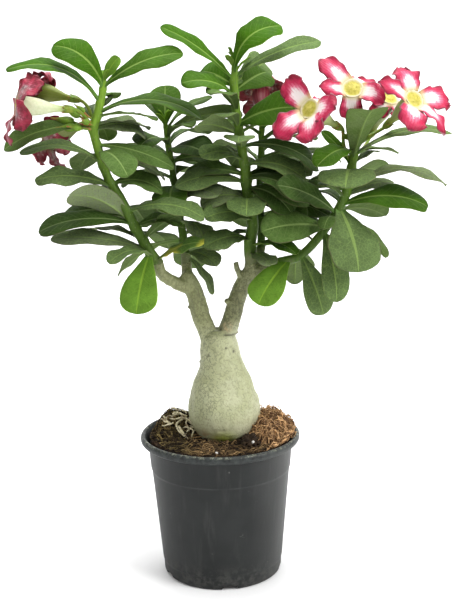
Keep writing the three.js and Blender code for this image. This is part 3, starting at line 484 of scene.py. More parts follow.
class Shader:
    """A procedural material. `colour` is what its coats have made so far."""

    def __init__(self, name):
        self.material = bpy.data.materials.new(name)
        self.material.use_nodes = True
        self.tree = self.material.node_tree
        self.surface = self.tree.nodes["Principled BSDF"]
        self.where = self.node("TexCoord", output="Object")
        self.colour = (0.5, 0.5, 0.5)

    def put(self, socket, value):
        if isinstance(value, Value):
            self.tree.links.new(value.socket, socket)
        else:
            socket.default_value = value

    def node(self, kind, sockets=(), output=0, **settings):
        made = self.tree.nodes.new("ShaderNode" + kind)
        for key, value in settings.items():
            setattr(made, key, value)
        for key, value in dict(sockets).items():
            self.put(made.inputs[key], value)
        return Value(self, made.outputs[output])

    def math(self, operation, a, b=0.0):
        return self.node("Math", {0: a, 1: b}, operation=operation)

    def most(self, a, b):
        return self.math("MAXIMUM", a, b)

    def wave(self, value):
        """Up to 0.5 and back to 0, over and over."""
        return self.math("PINGPONG", value, 0.5)

    def mix(self, share, a, b, blend="MIX"):
        a, b = ((*c, 1.0) if isinstance(c, tuple) else c for c in (a, b))
        sockets = {0: share, 6: a, 7: b}
        return self.node("Mix", sockets, 2, data_type="RGBA", blend_type=blend)

    def steps(self, value, low, high):
        """0 at low and 1 at high, with a soft rise between them."""
        sockets = {"Value": value, "From Min": low, "From Max": high}
        return self.node("MapRange", sockets, interpolation_type="SMOOTHSTEP")

    def blend(self, value, low, high, a, b):
        """From a to b as the value goes from low to high."""
        return self.mix(self.steps(value, low, high), a, b)

    def coat(self, share, colour):
        """Lays a colour over what is there."""
        self.colour = self.mix(share, self.colour, colour)

    def tint_lows(self, streaks, share, colour):
        """Mixes a share of a colour in where the streaks are low."""
        tinted = self.mix(share, self.colour, colour)
        self.colour = self.blend(streaks, 0.35, 0.7, tinted, self.colour)

    def stretched(self, stretch):
        return self.node("Mapping", {"Vector": self.where, "Scale": stretch})

    def noise(self, size, detail=3.0, stretch=(1, 1, 1), rough=0.5):
        """Noise with patches of about `size` millimetres."""
        sockets = {"Scale": 1000 / size, "Detail": detail, "Roughness": rough}
        return self.node("TexNoise", {"Vector": self.stretched(stretch), **sockets})

    def cells(self, size, feature="F1", stretch=(1, 1, 1)):
        sockets = {"Vector": self.stretched(stretch), "Scale": 1000 / size}
        return self.node("TexVoronoi", sockets, "Distance", feature=feature)

    def split(self, vector):
        parts = self.node("SeparateXYZ", {0: vector}).socket.node.outputs
        return [Value(self, part) for part in parts]

    def reading(self, name):
        return self.split(self.node("Attribute", (), "Vector", attribute_name=name))

    def bump(self, height, depth, strength):
        """Relief `depth` millimetres deep."""
        sockets = {"Height": height, "Distance": depth * MM, "Strength": strength}
        return self.node("Bump", sockets)

    def finish(self, roughness, normal=None, shine=None):
        constants = {"Base Color": self.colour, "Roughness": roughness}
        if normal:
            constants["Normal"] = normal
        if shine:
            constants["Specular IOR Level"] = shine
        for key, value in constants.items():
            self.put(self.surface.inputs[key], value)
        return self.material


def leaf_material():
    s = Shader("waxy_leaf")
    t, across, top = s.reading("place")
    light, dull, yellow = s.reading("tone")
    away = abs(across)
    patches = s.noise(14, 3)
    grain = s.noise(1.6, 4)
    # light is the leaf's own tone and painted light and shade: a lighter green for leaves in the
    # light, a darker green for leaves in shade
    upper = s.blend(light, 0.0, 0.4, (0.012, 0.03, 0.006), (0.06, 0.125, 0.016))
    upper = s.blend(light, 0.4, 0.7, upper, (0.042, 0.13, 0.001))
    upper = s.blend(light, 0.7, 1.0, upper, (0.14, 0.285, 0.032))
    upper = s.mix(dull, upper, (0.17, 0.215, 0.11))
    upper = s.blend(patches, 0.3, 0.75, s.mix(0.28, upper, BLACK), upper)
    lower = s.mix(light, (0.05, 0.085, 0.028), (0.13, 0.24, 0.02))
    lower = s.mix(dull, lower, (0.2, 0.235, 0.14))
    lower = s.blend(patches, 0.35, 0.7, lower, s.mix(0.25, lower, (0.22, 0.27, 0.13)))
    s.colour = s.mix(top, lower, upper)
    # side veins leave the midrib slantwise and fade before the edge
    slant = t * 10.5 - away * 1.9 + patches * 0.5
    line = s.steps(s.wave(slant), 0.085, 0.0) * s.steps(away, 1.0, 0.6)
    # the midrib is widest at the foot of the leaf
    foot = (1.0 - t) ** 2.0 * 0.16
    rib = s.steps(away - foot, 0.05, 0.01)
    pale = s.mix(light, (0.2, 0.25, 0.13), (0.27, 0.44, 0.045))
    net = s.steps(s.cells(3.4, "DISTANCE_TO_EDGE"), 0.075, 0.015)
    net = net * (0.07 + dull * 0.5)
    s.coat(s.steps(grain, 0.5, 0.3), s.mix(0.22, s.colour, BLACK))
    s.coat(net, pale)
    s.coat(line * 0.14, pale)
    s.coat(rib * 0.6, pale)
    # a thin margin, brownish on old leaves, and a foot that fades to the stem's green
    edge = s.blend(light, 0.45, 0.65, (0.085, 0.06, 0.04), pale)
    s.coat(s.steps(away, 0.94, 0.98) * 0.55, edge)
    s.coat(s.steps(t, 0.14, 0.02), (0.12, 0.24, 0.05))
    spot = s.steps(s.cells(3.4), 0.13, 0.07) * s.steps(s.noise(30, 1), 0.5, 0.7)
    s.coat(spot * 0.35, (0.2, 0.22, 0.1))
    gold = s.steps(s.noise(22, 2) + yellow * 0.6, 0.85, 1.1)
    s.coat(gold, (0.4, 0.37, 0.045))
    relief = grain * 0.12 - line * 0.5 - rib * 0.4
    rough = 0.48 + patches * 0.2 + (1.0 - top) * 0.2 + dull * 0.12
    return s.finish(rough, s.bump(relief, 0.5, 0.6), 0.05)


def stem_material():
    s = Shader("green_stem")
    light, woody, red = s.reading("tone")
    streaks = s.noise(2.2, 3, (1, 1, 0.22))
    patches = s.noise(12, 3)
    s.colour = s.mix(light, (0.026, 0.058, 0.011), (0.21, 0.37, 0.035))
    s.tint_lows(streaks, 0.3, (0.01, 0.03, 0.01))
    worn = s.steps(patches + woody * 0.55, 0.62, 0.95)
    s.coat(worn, (0.14, 0.155, 0.075))
    blush = red * s.steps(s.noise(5, 2), 0.35, 0.6)
    s.coat(blush, (0.4, 0.09, 0.05))
    flecks = s.steps(s.cells(1.7, stretch=(1, 1, 0.5)), 0.2, 0.12)
    s.coat(flecks * 0.4, (0.28, 0.33, 0.18))
    scar = s.steps(s.cells(13, stretch=(1, 1, 1.6)), 0.16, 0.1) * woody
    s.coat(scar * 0.7, (0.045, 0.035, 0.02))
    return s.finish(0.45 + worn * 0.25, s.bump(streaks + flecks * 0.3, 0.3, 0.7), 0.18)


def bark_material():
    s = Shader("caudex_bark")
    scar, branch, glow = s.reading("tone")
    x, _, height = s.split(s.where)
    broad = s.noise(26, 3)
    streaks = s.noise(5, 4, (1, 1, 0.28), 0.6)
    s.colour = s.blend(broad, 0.3, 0.7, (0.37, 0.385, 0.21), (0.5, 0.51, 0.33))
    s.tint_lows(streaks, 0.22, (0.2, 0.22, 0.11))
    s.coat(branch, s.blend(streaks, 0.3, 0.7, (0.12, 0.125, 0.048), (0.235, 0.245, 0.11)))
    # a fine dark net and dots, broken up by noise
    net = s.steps(s.cells(2.9, "DISTANCE_TO_EDGE", (1, 1, 0.7)), 0.15, 0.03)
    net = net * s.steps(s.noise(3, 3), 0.42, 0.56)
    dots = s.steps(s.cells(2.3), 0.36, 0.22) * s.steps(s.noise(5, 2), 0.36, 0.52)
    speck = s.most(net, dots)
    # painted shade on the left side: a darker olive there, and the dark specks darker there as on
    # the branches
    left_shade = s.steps(x, 0.006, -0.014)
    dark = 0.32 + s.most(branch, left_shade) * 0.33
    s.coat(left_shade * 0.25, (0.2, 0.22, 0.09))
    brown = s.steps(glow, -0.1, -0.8) * s.steps(s.noise(2.4, 3), 0.35, 0.55)
    s.coat(brown * 0.6, (0.42, 0.31, 0.16))
    s.coat(speck * dark, s.mix(branch, (0.1, 0.105, 0.05), (0.05, 0.05, 0.02)))
    mottle = s.steps(s.noise(2.8, 4, rough=0.7), 0.46, 0.62)
    dark = 0.08 + branch * 0.34
    s.coat(mottle * dark, (0.09, 0.095, 0.04))
    low = s.steps(height, 0.166, 0.138) * (1.0 - branch)
    s.coat(low * 0.4, (0.66, 0.63, 0.42))
    rust = s.steps(height, 0.15, 0.134) * s.steps(s.noise(9, 3), 0.4, 0.6)
    rust = rust * s.steps(x, 0.008, -0.016)
    s.coat(rust * 0.75, (0.3, 0.15, 0.06))
    s.coat(s.most(glow, 0.0), (0.62, 0.76, 0.06))
    # more painted shade on the left side, a darker olive
    s.coat(s.steps(x, -0.004, -0.028) * 0.3, (0.27, 0.29, 0.12))
    s.coat(scar, (0.035, 0.03, 0.018))
    relief = streaks * 0.7 + speck * -0.35 + s.noise(1.2, 3) * 0.25
    return s.finish(0.5 + streaks * 0.15, s.bump(relief, 0.6, 0.8))


def pot_material():
    s = Shader("nursery_pot")
    x, _, z = s.split(s.where)
    broad = s.noise(40, 3)
    grain = s.noise(0.9, 3)
    drag = s.noise(7, 4, (1, 1, 0.12), 0.6)
    s.colour = s.blend(broad, 0.3, 0.7, (0.008, 0.0095, 0.0092), (0.0145, 0.0165, 0.016))
    s.coat(s.steps(drag, 0.5, 0.8) * 0.3, (0.06, 0.062, 0.06))
    # painted shade down the left side of the pot, and a painted highlight down its right side
    s.coat(s.steps(x, -0.02, -0.06) * 0.45, (0.003, 0.004, 0.004))
    s.coat(s.steps(x, 0.02, 0.062) * 0.3, (0.07, 0.07, 0.067))
    # dust at the foot, lime on the lip, small scuffs on the wall
    dust = s.steps(z, 0.03, 0.004) * s.steps(s.noise(6, 4, rough=0.7), 0.4, 0.65)
    s.coat(dust * 0.3, (0.13, 0.125, 0.115))
    worn = s.steps(z, 0.1265, 0.1295) * s.steps(s.noise(5, 4, rough=0.7), 0.3, 0.7)
    s.coat(worn * 0.5, (0.07, 0.08, 0.077))
    lime = s.steps(z, 0.1328, 0.1346) * s.steps(s.noise(4, 5, rough=0.8), 0.5, 0.64)
    s.coat(lime * 0.7, (0.34, 0.36, 0.26))
    mark = s.steps(s.noise(9, 5, (1, 1, 0.8), 0.75), 0.66, 0.74)
    s.coat(mark * 0.5, (0.19, 0.19, 0.18))
    shoulder = s.steps(abs(z - 0.1022), 0.0012, 0.0002) * s.steps(s.noise(16, 3), 0.4, 0.7)
    s.coat(shoulder * 0.14, (0.13, 0.135, 0.135))
    return s.finish(0.4 + (dust + drag) * 0.18, s.bump(grain + drag * 1.5, 0.12, 0.6), 0.25)


def soil_material():
    s = Shader("peat_mix")
    crumbs = s.noise(2.5, 5, rough=0.7)
    s.colour = s.blend(crumbs, 0.42, 0.68, (0.003, 0.002, 0.0015), (0.05, 0.028, 0.014))
    s.coat(s.steps(s.noise(16, 3), 0.45, 0.7), s.mix(0.3, s.colour, (0.1, 0.05, 0.022)))
    chaff = s.steps(s.cells(2.2, stretch=(1, 0.4, 1)), 0.18, 0.1)
    s.coat(chaff * 0.55, (0.3, 0.2, 0.1))
    return s.finish(0.95, s.bump(crumbs, 1.6, 1.0), 0.2)


def fibre_material(name, dark, fair, left_tint=(1.0, 1.0, 1.0)):
    s = Shader(name)
    shade, _, _ = s.reading("tone")
    streaks = s.noise(1.5, 3)
    s.colour = s.mix(shade, dark, fair)
    left = s.steps(s.split(s.where)[0], -0.012, -0.04)
    s.colour = s.mix(left, s.colour, left_tint, "MULTIPLY")
    s.tint_lows(streaks, 0.4, (0.02, 0.01, 0.006))
    return s.finish(0.8, s.bump(streaks, 0.15, 0.6), 0.25)


def grain_material():
    s = Shader("perlite")
    pits = s.noise(0.8, 3)
    s.colour = s.blend(pits, 0.35, 0.6, (0.5, 0.47, 0.41), (0.84, 0.83, 0.8))
    return s.finish(0.85, s.bump(pits, 0.4, 0.8))


def root_material():
    s = Shader("root_skin")
    rings = s.noise(2, 4, rough=0.65)
    s.colour = s.blend(rings, 0.3, 0.7, (0.5, 0.43, 0.25), (0.93, 0.85, 0.6))
    s.coat(s.steps(s.noise(9, 3), 0.56, 0.74), (0.24, 0.16, 0.09))
    return s.finish(0.7, s.bump(rings, 0.4, 0.8))


def petal_material():
    s = Shader("petal")
    v, across, inner = s.reading("place")
    throat, pale, wilt = s.reading("tone")
    away = abs(across)
    feather = s.noise(3.2, 4, rough=0.6)
    veins = s.steps(s.wave(across * 5.0 + feather), 0.2, 0.0)
    # 0 along the middle of the lobe, 1 at its margin and tip
    reach = 1.0 - (1.0 - away**1.35) * (1.0 - v**2.2)
    reach = reach + (feather - 0.5) * 0.42 + veins * 0.13 + (v - 0.45) * 0.3
    s.colour = s.blend(reach, 0.26, 0.52, (0.77, 0.68, 0.67), (0.64, 0.145, 0.235))
    s.coat(s.steps(reach, 0.44, 0.74), (0.44, 0.011, 0.06))
    s.coat(s.steps(reach, 0.8, 1.1), (0.26, 0.005, 0.028))
    rim = s.most(s.steps(away, 0.84, 0.96), s.steps(v, 0.89, 0.98))
    s.coat(rim * 0.9, (0.14, 0.003, 0.024))
    s.coat(s.steps(v, 0.24, 0.02) * 0.75, (0.62, 0.56, 0.24))
    # the outside is paler, unless the bloom is wilted
    outside = s.mix((1.0 - wilt) * 0.4, s.colour, (0.74, 0.36, 0.4))
    s.colour = s.mix(inner, outside, s.colour)
    s.coat(pale, (0.84, 0.6, 0.62))
    old = s.blend(s.noise(6, 3), 0.35, 0.65, (0.1, 0.007, 0.011), (0.3, 0.022, 0.045))
    patchy = s.steps(feather, 0.25, 0.6)
    patchy = s.mix(wilt, patchy, 0.6 + patchy * 0.4)
    s.coat(wilt * patchy, old)
    gold = s.blend(s.noise(2.4, 2), 0.3, 0.7, (0.52, 0.45, 0.09), (0.4, 0.36, 0.045))
    fringe = throat + (feather - 0.5) * 0.6
    s.coat(s.steps(fringe, 0.05, 0.8), gold)
    return s.finish(0.5, s.bump(feather + veins * 0.6, 0.35, 0.7), 0.3)


def tube_material():
    s = Shader("flower_tube")
    v, around, _ = s.reading("place")
    stain, green, _ = s.reading("tone")
    streaks = s.noise(2, 4, rough=0.6)
    line = s.steps(s.wave(around * 15.0), 0.12, 0.0)
    s.colour = s.blend(streaks, 0.3, 0.7, (0.6, 0.65, 0.42), (0.7, 0.74, 0.53))
    s.coat(s.steps(v, 0.55, 0.0), (0.4, 0.52, 0.16))
    s.coat(green, (0.165, 0.21, 0.018))
    s.coat(stain, (0.09, 0.006, 0.012))
    s.coat(line * 0.12, (0.6, 0.42, 0.26))
    return s.finish(0.5, s.bump(streaks, 0.2, 0.5), 0.2)


LEAF = leaf_material()
STEM = stem_material()
BARK = bark_material()
POT = pot_material()
SOIL = soil_material()
# the dark end is both the strands' own darker tone and the painted shade of the heap's core
COIR = fibre_material("coir_fibre", (0.055, 0.018, 0.007), (1.0, 0.61, 0.29))
HAIR = fibre_material("peat_fibre", (0.011, 0.005, 0.002), (0.62, 0.4, 0.18), (0.74, 0.84, 0.7))
PERLITE = grain_material()
ROOT = root_material()
PETAL = petal_material()
TUBE = tube_material()

# ------------ pot


def rounded(profile, cut):
    """The profile with its corners rounded off, `cut` millimetres at most."""
    corners = [Vector(point) for point in profile]
    result = [corners[0]]
    for before, corner, after in zip(corners, corners[1:], corners[2:]):
        back = before - corner
        forth = after - corner
        a = corner + back.normalized() * min(cut, back.length * 0.4)
        b = corner + forth.normalized() * min(cut, forth.length * 0.4)
        result += [a, (a + b) / 4 + corner / 2, b]
    result.append(corners[-1])
    return result


def turned(shell, profile, sides, height=None):
    """A body turned about Z, whose points may be raised by height(x, y, z)."""
    rings = []
    for radius, z in profile:
        ring = []
        for angle in turns(sides) if radius > 0 else [0]:
            x, y = polar(radius, angle)
            ring.append(shell.add(Vector((x, y, height(x, y, z) if height else z))))
        rings.append(ring)
    shell.close(rings)


def make_pot():
    shell = Shell()
    turned(shell, rounded(POT_PROFILE, 1.4), 180)
    body = shell.make("pot_blank", POT)
    tool = Shell()
    for i in range(NOTCHES):
        angle = radians(FIRST_NOTCH + 360 / NOTCHES * i)
        out = Vector((cos(angle), sin(angle), 0))
        aside = Vector((-out.y, out.x, 0))
        inner, outer = (
            [tool.add(out * radius + aside * w + UP * z) for w, z in NOTCH_ARCH]
            for radius in (48, 60)
        )
        tool.close([outer, inner])
    cutter = tool.make("notches", POT)
    cut = body.modifiers.new("notches", "BOOLEAN")
    cut.operation = "DIFFERENCE"
    cut.solver = "EXACT"
    cut.object = cutter
    pot = baked(body, "pot_shell", POT, ["pot"])
    bpy.data.objects.remove(cutter)
    pot.data.shade_smooth()
    pot.data.set_sharp_from_angle(angle=radians(38))


make_pot()

# ------------ soil


def soil_height(x, y):
    dx, dy = x - MOUND_CENTRE[0], y - MOUND_CENTRE[1]
    mound = MOUND_HEIGHT * exp(-(dx * dx + dy * dy) / (2 * MOUND_SPREAD**2))
    crumbs = sin(0.41 * x + 1.3) * cos(0.37 * y) + 0.6 * sin(0.83 * (x - y))
    edge = clamp((64.5 - hypot(x, y)) / 8)
    return SOIL_LEVEL + (mound + 0.9 * crumbs) * edge + 2 * (1 - edge)


def ground(x, y):
    """The soil's surface with its lumps and crumbs."""
    edge = clamp((66.5 - hypot(x, y)) / 7)
    lumps = noise.noise(Vector((x, y, 3)) / 7) * 3.0
    crumbs = noise.noise(Vector((x, y, 9)) / 2.6) * 2.4
    small = noise.noise(Vector((x, y, 5)) / 1.2) * 1.0
    mound = exp(-((x + 42) ** 2 + (y - 10) ** 2) / 500)
    return soil_height(x, y) + (lumps * (0.5 + mound) + crumbs + small) * (0.2 + 0.8 * edge)


def over_soil(x, y, rise):
    return Vector((x, y, ground(x, y) + rise))


def make_soil():
    shell = Shell()
    sides = [(0, 3.2), (52.6, 3.2), (53.8, 3.8), (63, 102), (66, 126.6)]
    top = [(66.4 - 0.85 * i, SOIL_LEVEL) for i in range(78)] + [(0, SOIL_LEVEL)]

    def raised(x, y, z):
        return ground(x, y) if z == SOIL_LEVEL else z

    turned(shell, sides + top, 250, raised)
    shell.make("soil_bed", SOIL, ["soil"])


make_soil()


def lump(shell, centre, size, draw, tone=(0, 0, 0), squash=0.8):
    """A small rough grain."""
    seed = draw() * 50
    rings = []
    for i in range(5):
        tilt = pi * (i + 0.5) / 5
        ring = []
        for angle in turns(7):
            out = Vector((*polar(sin(tilt), angle), cos(tilt)))
            reach = size * (0.8 + 0.6 * noise.noise(out * 1.3 + Vector((seed, 0, 0))))
            point = centre + Vector((out.x * reach, out.y * reach, out.z * reach * squash))
            ring.append(shell.add(point, (0, 0, 0), tone))
        rings.append(ring)
    shell.close(rings[::-1])


def fibre(shell, x, y, heading, length, lift, radius, curl, shade, draw, floor, limit=66):
    """A thin fibre that wanders over the floor, `lift` high in its middle."""
    points = []
    spans = 6
    turn = curl * (draw() - 0.5)
    for i in range(spans + 1):
        t = i / spans
        reach = hypot(x, y)
        if reach > limit:
            x, y = x * limit / reach, y * limit / reach
        rise = lift * sin(pi * t) + 1.2 * (draw() - 0.3)
        points.append(Vector((x, y, floor(x, y) + max(rise, 0.1))))
        x, y = step(x, y, heading, length / spans)
        heading += turn + 0.7 * curl * (draw() - 0.5)
        turn += 0.5 * curl * (draw() - 0.5)
    shell.tube(points, [radius, radius, radius * 0.4], 4, 2 * spans, (shade, 0, 0))


# the grains that the photo shows: place, height above the soil, size
PERLITE_BITS = [(30, -44, 8.5, 1.8), (-3, -60, 2.2, 1.6), (-62, 5, 1, 1.1), (-56, 32, 1, 1),
                (52, -26, 12, 1)]


def make_litter():
    draw = seeded(11)
    crumbs = Shell()
    for _ in range(760):
        x, y = polar(64 * sqrt(draw()), TURN * draw())
        size = 0.7 + 2.2 * draw() ** 2.5
        lump(crumbs, over_soil(x, y, 0.25 * size), size, draw, (0.6 * draw() ** 2, 0, 0), 0.7)
    # dark clods lie beside the heap of coir
    for _ in range(150):
        out = bearing(360 * draw(), 90 * draw())
        x, y = 27 + 9.5 * out.x, -33 + 12 * out.y
        size = 1.4 + 1.6 * draw()
        lump(crumbs, over_soil(x, y, 9.5 * out.z), size, draw, (0.05 * draw(), 0, 0), 0.9)
    crumbs.make("peat_crumbs", HAIR, ["soil"])

    hairs = Shell()
    for _ in range(360):
        x, y = polar(18 + 46 * sqrt(draw()), TURN * draw())
        length, lift = 8 + 24 * draw(), 0.8 + 3.6 * draw()
        radius = 0.16 + 0.2 * draw()
        fibre(hairs, x, y, TURN * draw(), length, lift, radius, 2.6, draw() ** 2.6, draw, ground)
    # tangled curls on the mound at the left
    for _ in range(150):
        x, y = -46 + 17 * (draw() + draw() - 1), 4 + 28 * (draw() + draw() - 1)
        heading, length, lift = TURN * draw(), 10 + 16 * draw(), 1 + 2.5 * draw()
        radius = 0.18 + 0.2 * draw()
        fibre(hairs, x, y, heading, length, lift, radius, 4.4, draw() ** 2, draw, ground)
    # the front and the left are matted with long fine fibres
    for _ in range(230):
        angle = radians(-195 + 150 * draw())
        x, y = polar(30 + 33 * draw(), angle)
        heading = angle + pi / 2 + 1.5 * (draw() - 0.5)
        length, lift, radius = 12 + 26 * draw(), 1 + 3.6 * draw(), 0.15 + 0.2 * draw()
        fibre(hairs, x, y, heading, length, lift, radius, 2.4, draw() ** 2.2, draw, ground)
    hairs.tube([(-61, -4, 134), (-56, 0, 149), (-46, 3, 155), (-33, 4, 152), (-24, 3, 144)],
               [0.55, 0.5, 0.45], 6, 24, (0.0, 0, 0))
    hairs.make("peat_fibres", HAIR, ["soil"])

    grains = Shell()
    for x, y, rise, size in PERLITE_BITS:
        lump(grains, over_soil(x, y, rise), size, draw)
    for _ in range(14):
        x, y = polar(20 + 44 * draw(), radians(10 + 190 * draw()))
        size = 0.4 + 0.8 * draw()
        lump(grains, over_soil(x, y, size * 0.3), size, draw)
    grains.make("perlite_grains", PERLITE, ["soil"])


make_litter()


def coir_top(x, y):
    """The heap of fibre: a dome with an uneven top, which slopes down to the lip."""
    dx = (x - COIR_CENTRE[0]) / COIR_SPREAD[0]
    dy = (y - COIR_CENTRE[1]) / COIR_SPREAD[1]
    dome = 17.5 * max(0.0, 1 - dx * dx - dy * dy) ** 0.7
    rough = noise.noise(Vector((x, y, 2)) / 7) * 4 + noise.noise(Vector((x, y, 7)) / 2.4) * 2
    return max(SOIL_LEVEL - 3, SOIL_LEVEL - 1.5 + dome + rough * smooth(dome, 0, 6))


def coir_floor(x, y):
    """What strands lie on: the heap, and the pot's lip beyond it."""
    heap = coir_top(x, y)
    return mixed(heap, max(heap, LIP_TOP), smooth(hypot(x, y), 64, 69))


def coir_spot(share, angle):
    """A place in the heap: share 0 is its middle, 1 its edge."""
    (x, y), (across, deep) = COIR_CENTRE, COIR_SPREAD
    return x + across * share * cos(angle), y + deep * share * sin(angle)


def make_coir():
    # the core under the strands has the darkest coir colour: painted shade in the gaps between the
    # strands
    core = Shell()
    rings = []
    steps = 21
    for i in range(steps + 1):
        ring = []
        for angle in turns(64) if i < steps else [0]:
            x, y = coir_spot(1 - i / steps, angle)
            inward = min(1, 65.5 / hypot(x, y))
            x, y = x * inward, y * inward
            ring.append(core.add(Vector((x, y, coir_top(x, y) if i else SOIL_LEVEL - 4))))
        rings.append(ring)
    core.close(rings)
    core.make("coir_shade_core", COIR, ["coir_heap"])

    draw = seeded(23)
    strands = Shell()
    for _ in range(760):
        x, y = coir_spot(sqrt(draw()), TURN * draw())
        length, heading = 12 + 24 * draw(), TURN * draw()
        lift, radius = 0.8 + 7.5 * draw() ** 1.6, 0.3 + 0.36 * draw() ** 2
        shade = draw() ** 1.1
        fibre(strands, x, y, heading, length, lift, radius, 5.2, shade, draw, coir_floor, 70)
    # the heap's edge hangs over the lip
    for _ in range(110):
        x, y = polar(59 + 10 * draw(), radians(-48 + 84 * draw()))
        heading, length, lift = TURN * draw(), 10 + 14 * draw(), 0.6 + 4 * draw()
        radius, shade = 0.24 + 0.24 * draw(), draw() ** 1.1
        fibre(strands, x, y, heading, length, lift, radius, 5.2, shade, draw, coir_floor, 72.5)
    strands.make("coir_strands", COIR, ["coir_heap"])


make_coir()


# place, height above the soil, and radii along the root
MAIN_ROOTS = [
    ([(-17, 1, 3), (-24, 3, 4.4), (-31, 9, 4), (-38, 15, 3.8), (-44, 22, 4), (-50, 31, 2)],
     [1.8, 1.3, 1.0, 0.8]),
    ([(-27, 6, 3.8), (-35, 6, 5.4), (-43, 3, 4.6), (-52, 7, 2.4)], [1.2, 0.9, 0.6]),
    ([(-34, 8, 4), (-41, -2, 4.4), (-37, -12, 3.8), (-29, -19, 2)], [1.1, 0.9, 0.6]),
]


def make_roots():
    shell = Shell()
    draw = seeded(31)

    def root(stations, radii, spans=26):
        points = [Vector((x, y, soil_height(x, y) + lift)) for x, y, lift in stations]

        def knobbly(_, centre, radius):
            return radius * (1 + 0.22 * noise.noise(centre / 2.5) + 0.1 * noise.noise(centre))

        shell.tube(points, radii, 9, spans, (0, 0, 0), knobbly)

    for stations, radii in MAIN_ROOTS:
        root(stations, radii)
    for _ in range(17):
        x, y = -24 - 24 * draw(), -16 + 34 * draw()
        heading = TURN * draw()
        stations = []
        turn = 2 * (draw() - 0.5)
        for i in range(7):
            stations.append((x, y, 2 + 3.2 * sin(pi * i / 6)))
            x, y = step(x, y, heading, 2.8)
            heading += turn + 1.6 * (draw() - 0.5)
        root(stations, [0.75, 0.65, 0.35], 20)
    shell.make("root_skins", ROOT, ["surface_roots"])


make_roots()

# ------------ caudex

# scars and stubs on the bark: place, reach, and how far each rises or sinks
SCARS = [
    (-21, -13, 190, 1.1, -1.1), (15, -13, 216, 1.5, -1.1), (7.5, -17, 220, 1, -1.1),
    (-9, -14, 213, 0.9, -1.1), (-25.5, -2, 256, 1.5, 2), (-17.5, -2, 204, 1.4, 1.8),
    (17.5, -2, 231, 1.6, 1.8), (2, -7, 236, 2, -1.4),
]
# the dark ring where the right branch forks: centre and axis
FORK_RING = (Vector((9, 0, 231)), Vector((0.12, 0, 1)).normalized())
BROWN_PATCH = Vector((9, -9, 238))


def make_caudex():
    shell = Shell()
    heights = [ring[0] for ring in CAUDEX_RINGS]
    centres = [(h, x) for h, x, _ in CAUDEX_RINGS]
    radii = [(h, r) for h, _, r in CAUDEX_RINGS]
    rings = []
    steps = 64
    for i in range(steps + 1):
        height = mixed(heights[0], heights[-1], i / steps)
        x = curve_value(centres, height)
        radius = curve_value(radii, height)
        ring = []
        for angle in turns(72):
            reach = radius * (1 + 0.025 * cos(3 * angle + height / 14))
            ring.append(shell.add(Vector((*step(x, 0, angle, reach), height))))
        rings.append(ring)
    shell.close(rings)
    for line in BRANCHES:
        points = [Vector(p[:3]) for p in line]
        # the upper ends reach into the green stems
        if points[-1].z > 291:
            points[-1] += (points[-1] - points[-2]).normalized() * 1.2
        shell.tube(points, [p[3] for p in line], 20, 6 * len(line))
    blank = shell.make("caudex_blank", BARK)
    skin = blank.modifiers.new("skin", "REMESH")
    skin.mode = "VOXEL"
    skin.voxel_size = 0.95 * MM
    ease = blank.modifiers.new("ease", "SMOOTH")
    ease.factor = 0.5
    ease.iterations = 9
    piece = baked(blank, "caudex_bark", BARK, ["caudex"])
    mesh = piece.data
    tones = []
    shifts = []
    for vertex in mesh.vertices:
        p = vertex.co / MM
        branch = smooth(p.z, 226, 250)
        wrinkle = noise.noise(Vector((p.x / 5, p.y / 5, p.z / 16))) * 0.55
        dent = noise.noise(p / 17) * 0.9
        folds = noise.noise(Vector((p.x / 30, p.y / 30, p.z / 3.2))) * 0.3 * (1 - branch)
        knobs = noise.noise(p / 4) * 0.45 * branch
        shift = wrinkle + dent * (1 - 0.5 * branch) + folds + knobs
        scar = 0.0
        for x, y, z, reach, rise in SCARS:
            away = (p - Vector((x, y, z))).length / reach
            here = exp(-(away**2))
            scar = max(scar, here)
            shift += rise * here
        centre, axis = FORK_RING
        fork = exp(-(((p - centre).dot(axis) / 0.7) ** 2)) * smooth(p.x, 3, 8)
        scar = max(scar, 0.75 * fork)
        shift -= 0.7 * fork
        # above 0 the yellow-green foot, below 0 the brown patch over the fork
        glow = 0.8 * smooth(p.z, 151, 134) ** 1.6 * smooth(-p.y, 8, 24)
        glow *= exp(-((p.x - 4) / 10) ** 2)
        glow -= exp(-(((p - BROWN_PATCH).length / 5.5) ** 2))
        end = smooth(p.z, 268, 284) * 0.25
        tones += [min(scar, 0.9), branch * (1 - end), glow]
        shifts.append(shift)
    moved = [v.co + v.normal * (shift * MM) for v, shift in zip(mesh.vertices, shifts)]
    mesh.vertices.foreach_set("co", [c for point in moved for c in point])
    mesh.attributes.new("tone", "FLOAT_VECTOR", "POINT").data.foreach_set("vector", tones)
    mesh.shade_smooth()
    mesh.update()


make_caudex()

# ------------ stems and leaves

LEAF_STATIONS = [
    0, 0.06, 0.14, 0.23, 0.33, 0.43, 0.53, 0.62, 0.7, 0.78, 0.85, 0.91, 0.955, 0.985, 1
]
HALF_COLUMNS = [1, 0.965, 0.8, 0.55, 0.3, 0.12, 0.045]
LEAF_COLUMNS = [-column for column in HALF_COLUMNS] + [0] + HALF_COLUMNS[::-1]
# Hidden leaves stay behind a plane, clear of the blooms, and apart from leaves that are there.
HIDDEN_FRONT = -12
BLOOM_CLEARANCE = 36
OWN_GAP = 3
OTHER_GAP = 8
# how light, how dull and how yellow; how light holds the leaf's own tone and painted light
# and shade
LOOKS = {
    "b": (1, 0, 0), "g": (0.63, 0, 0), "e": (0.52, 0, 0), "l": (0.5, 0.45, 0),
    "m": (0.4, 0.15, 0), "d": (0.2, 0.05, 0), "p": (0.42, 0.85, 0), "y": (0.6, 0.2, 0.75),
}

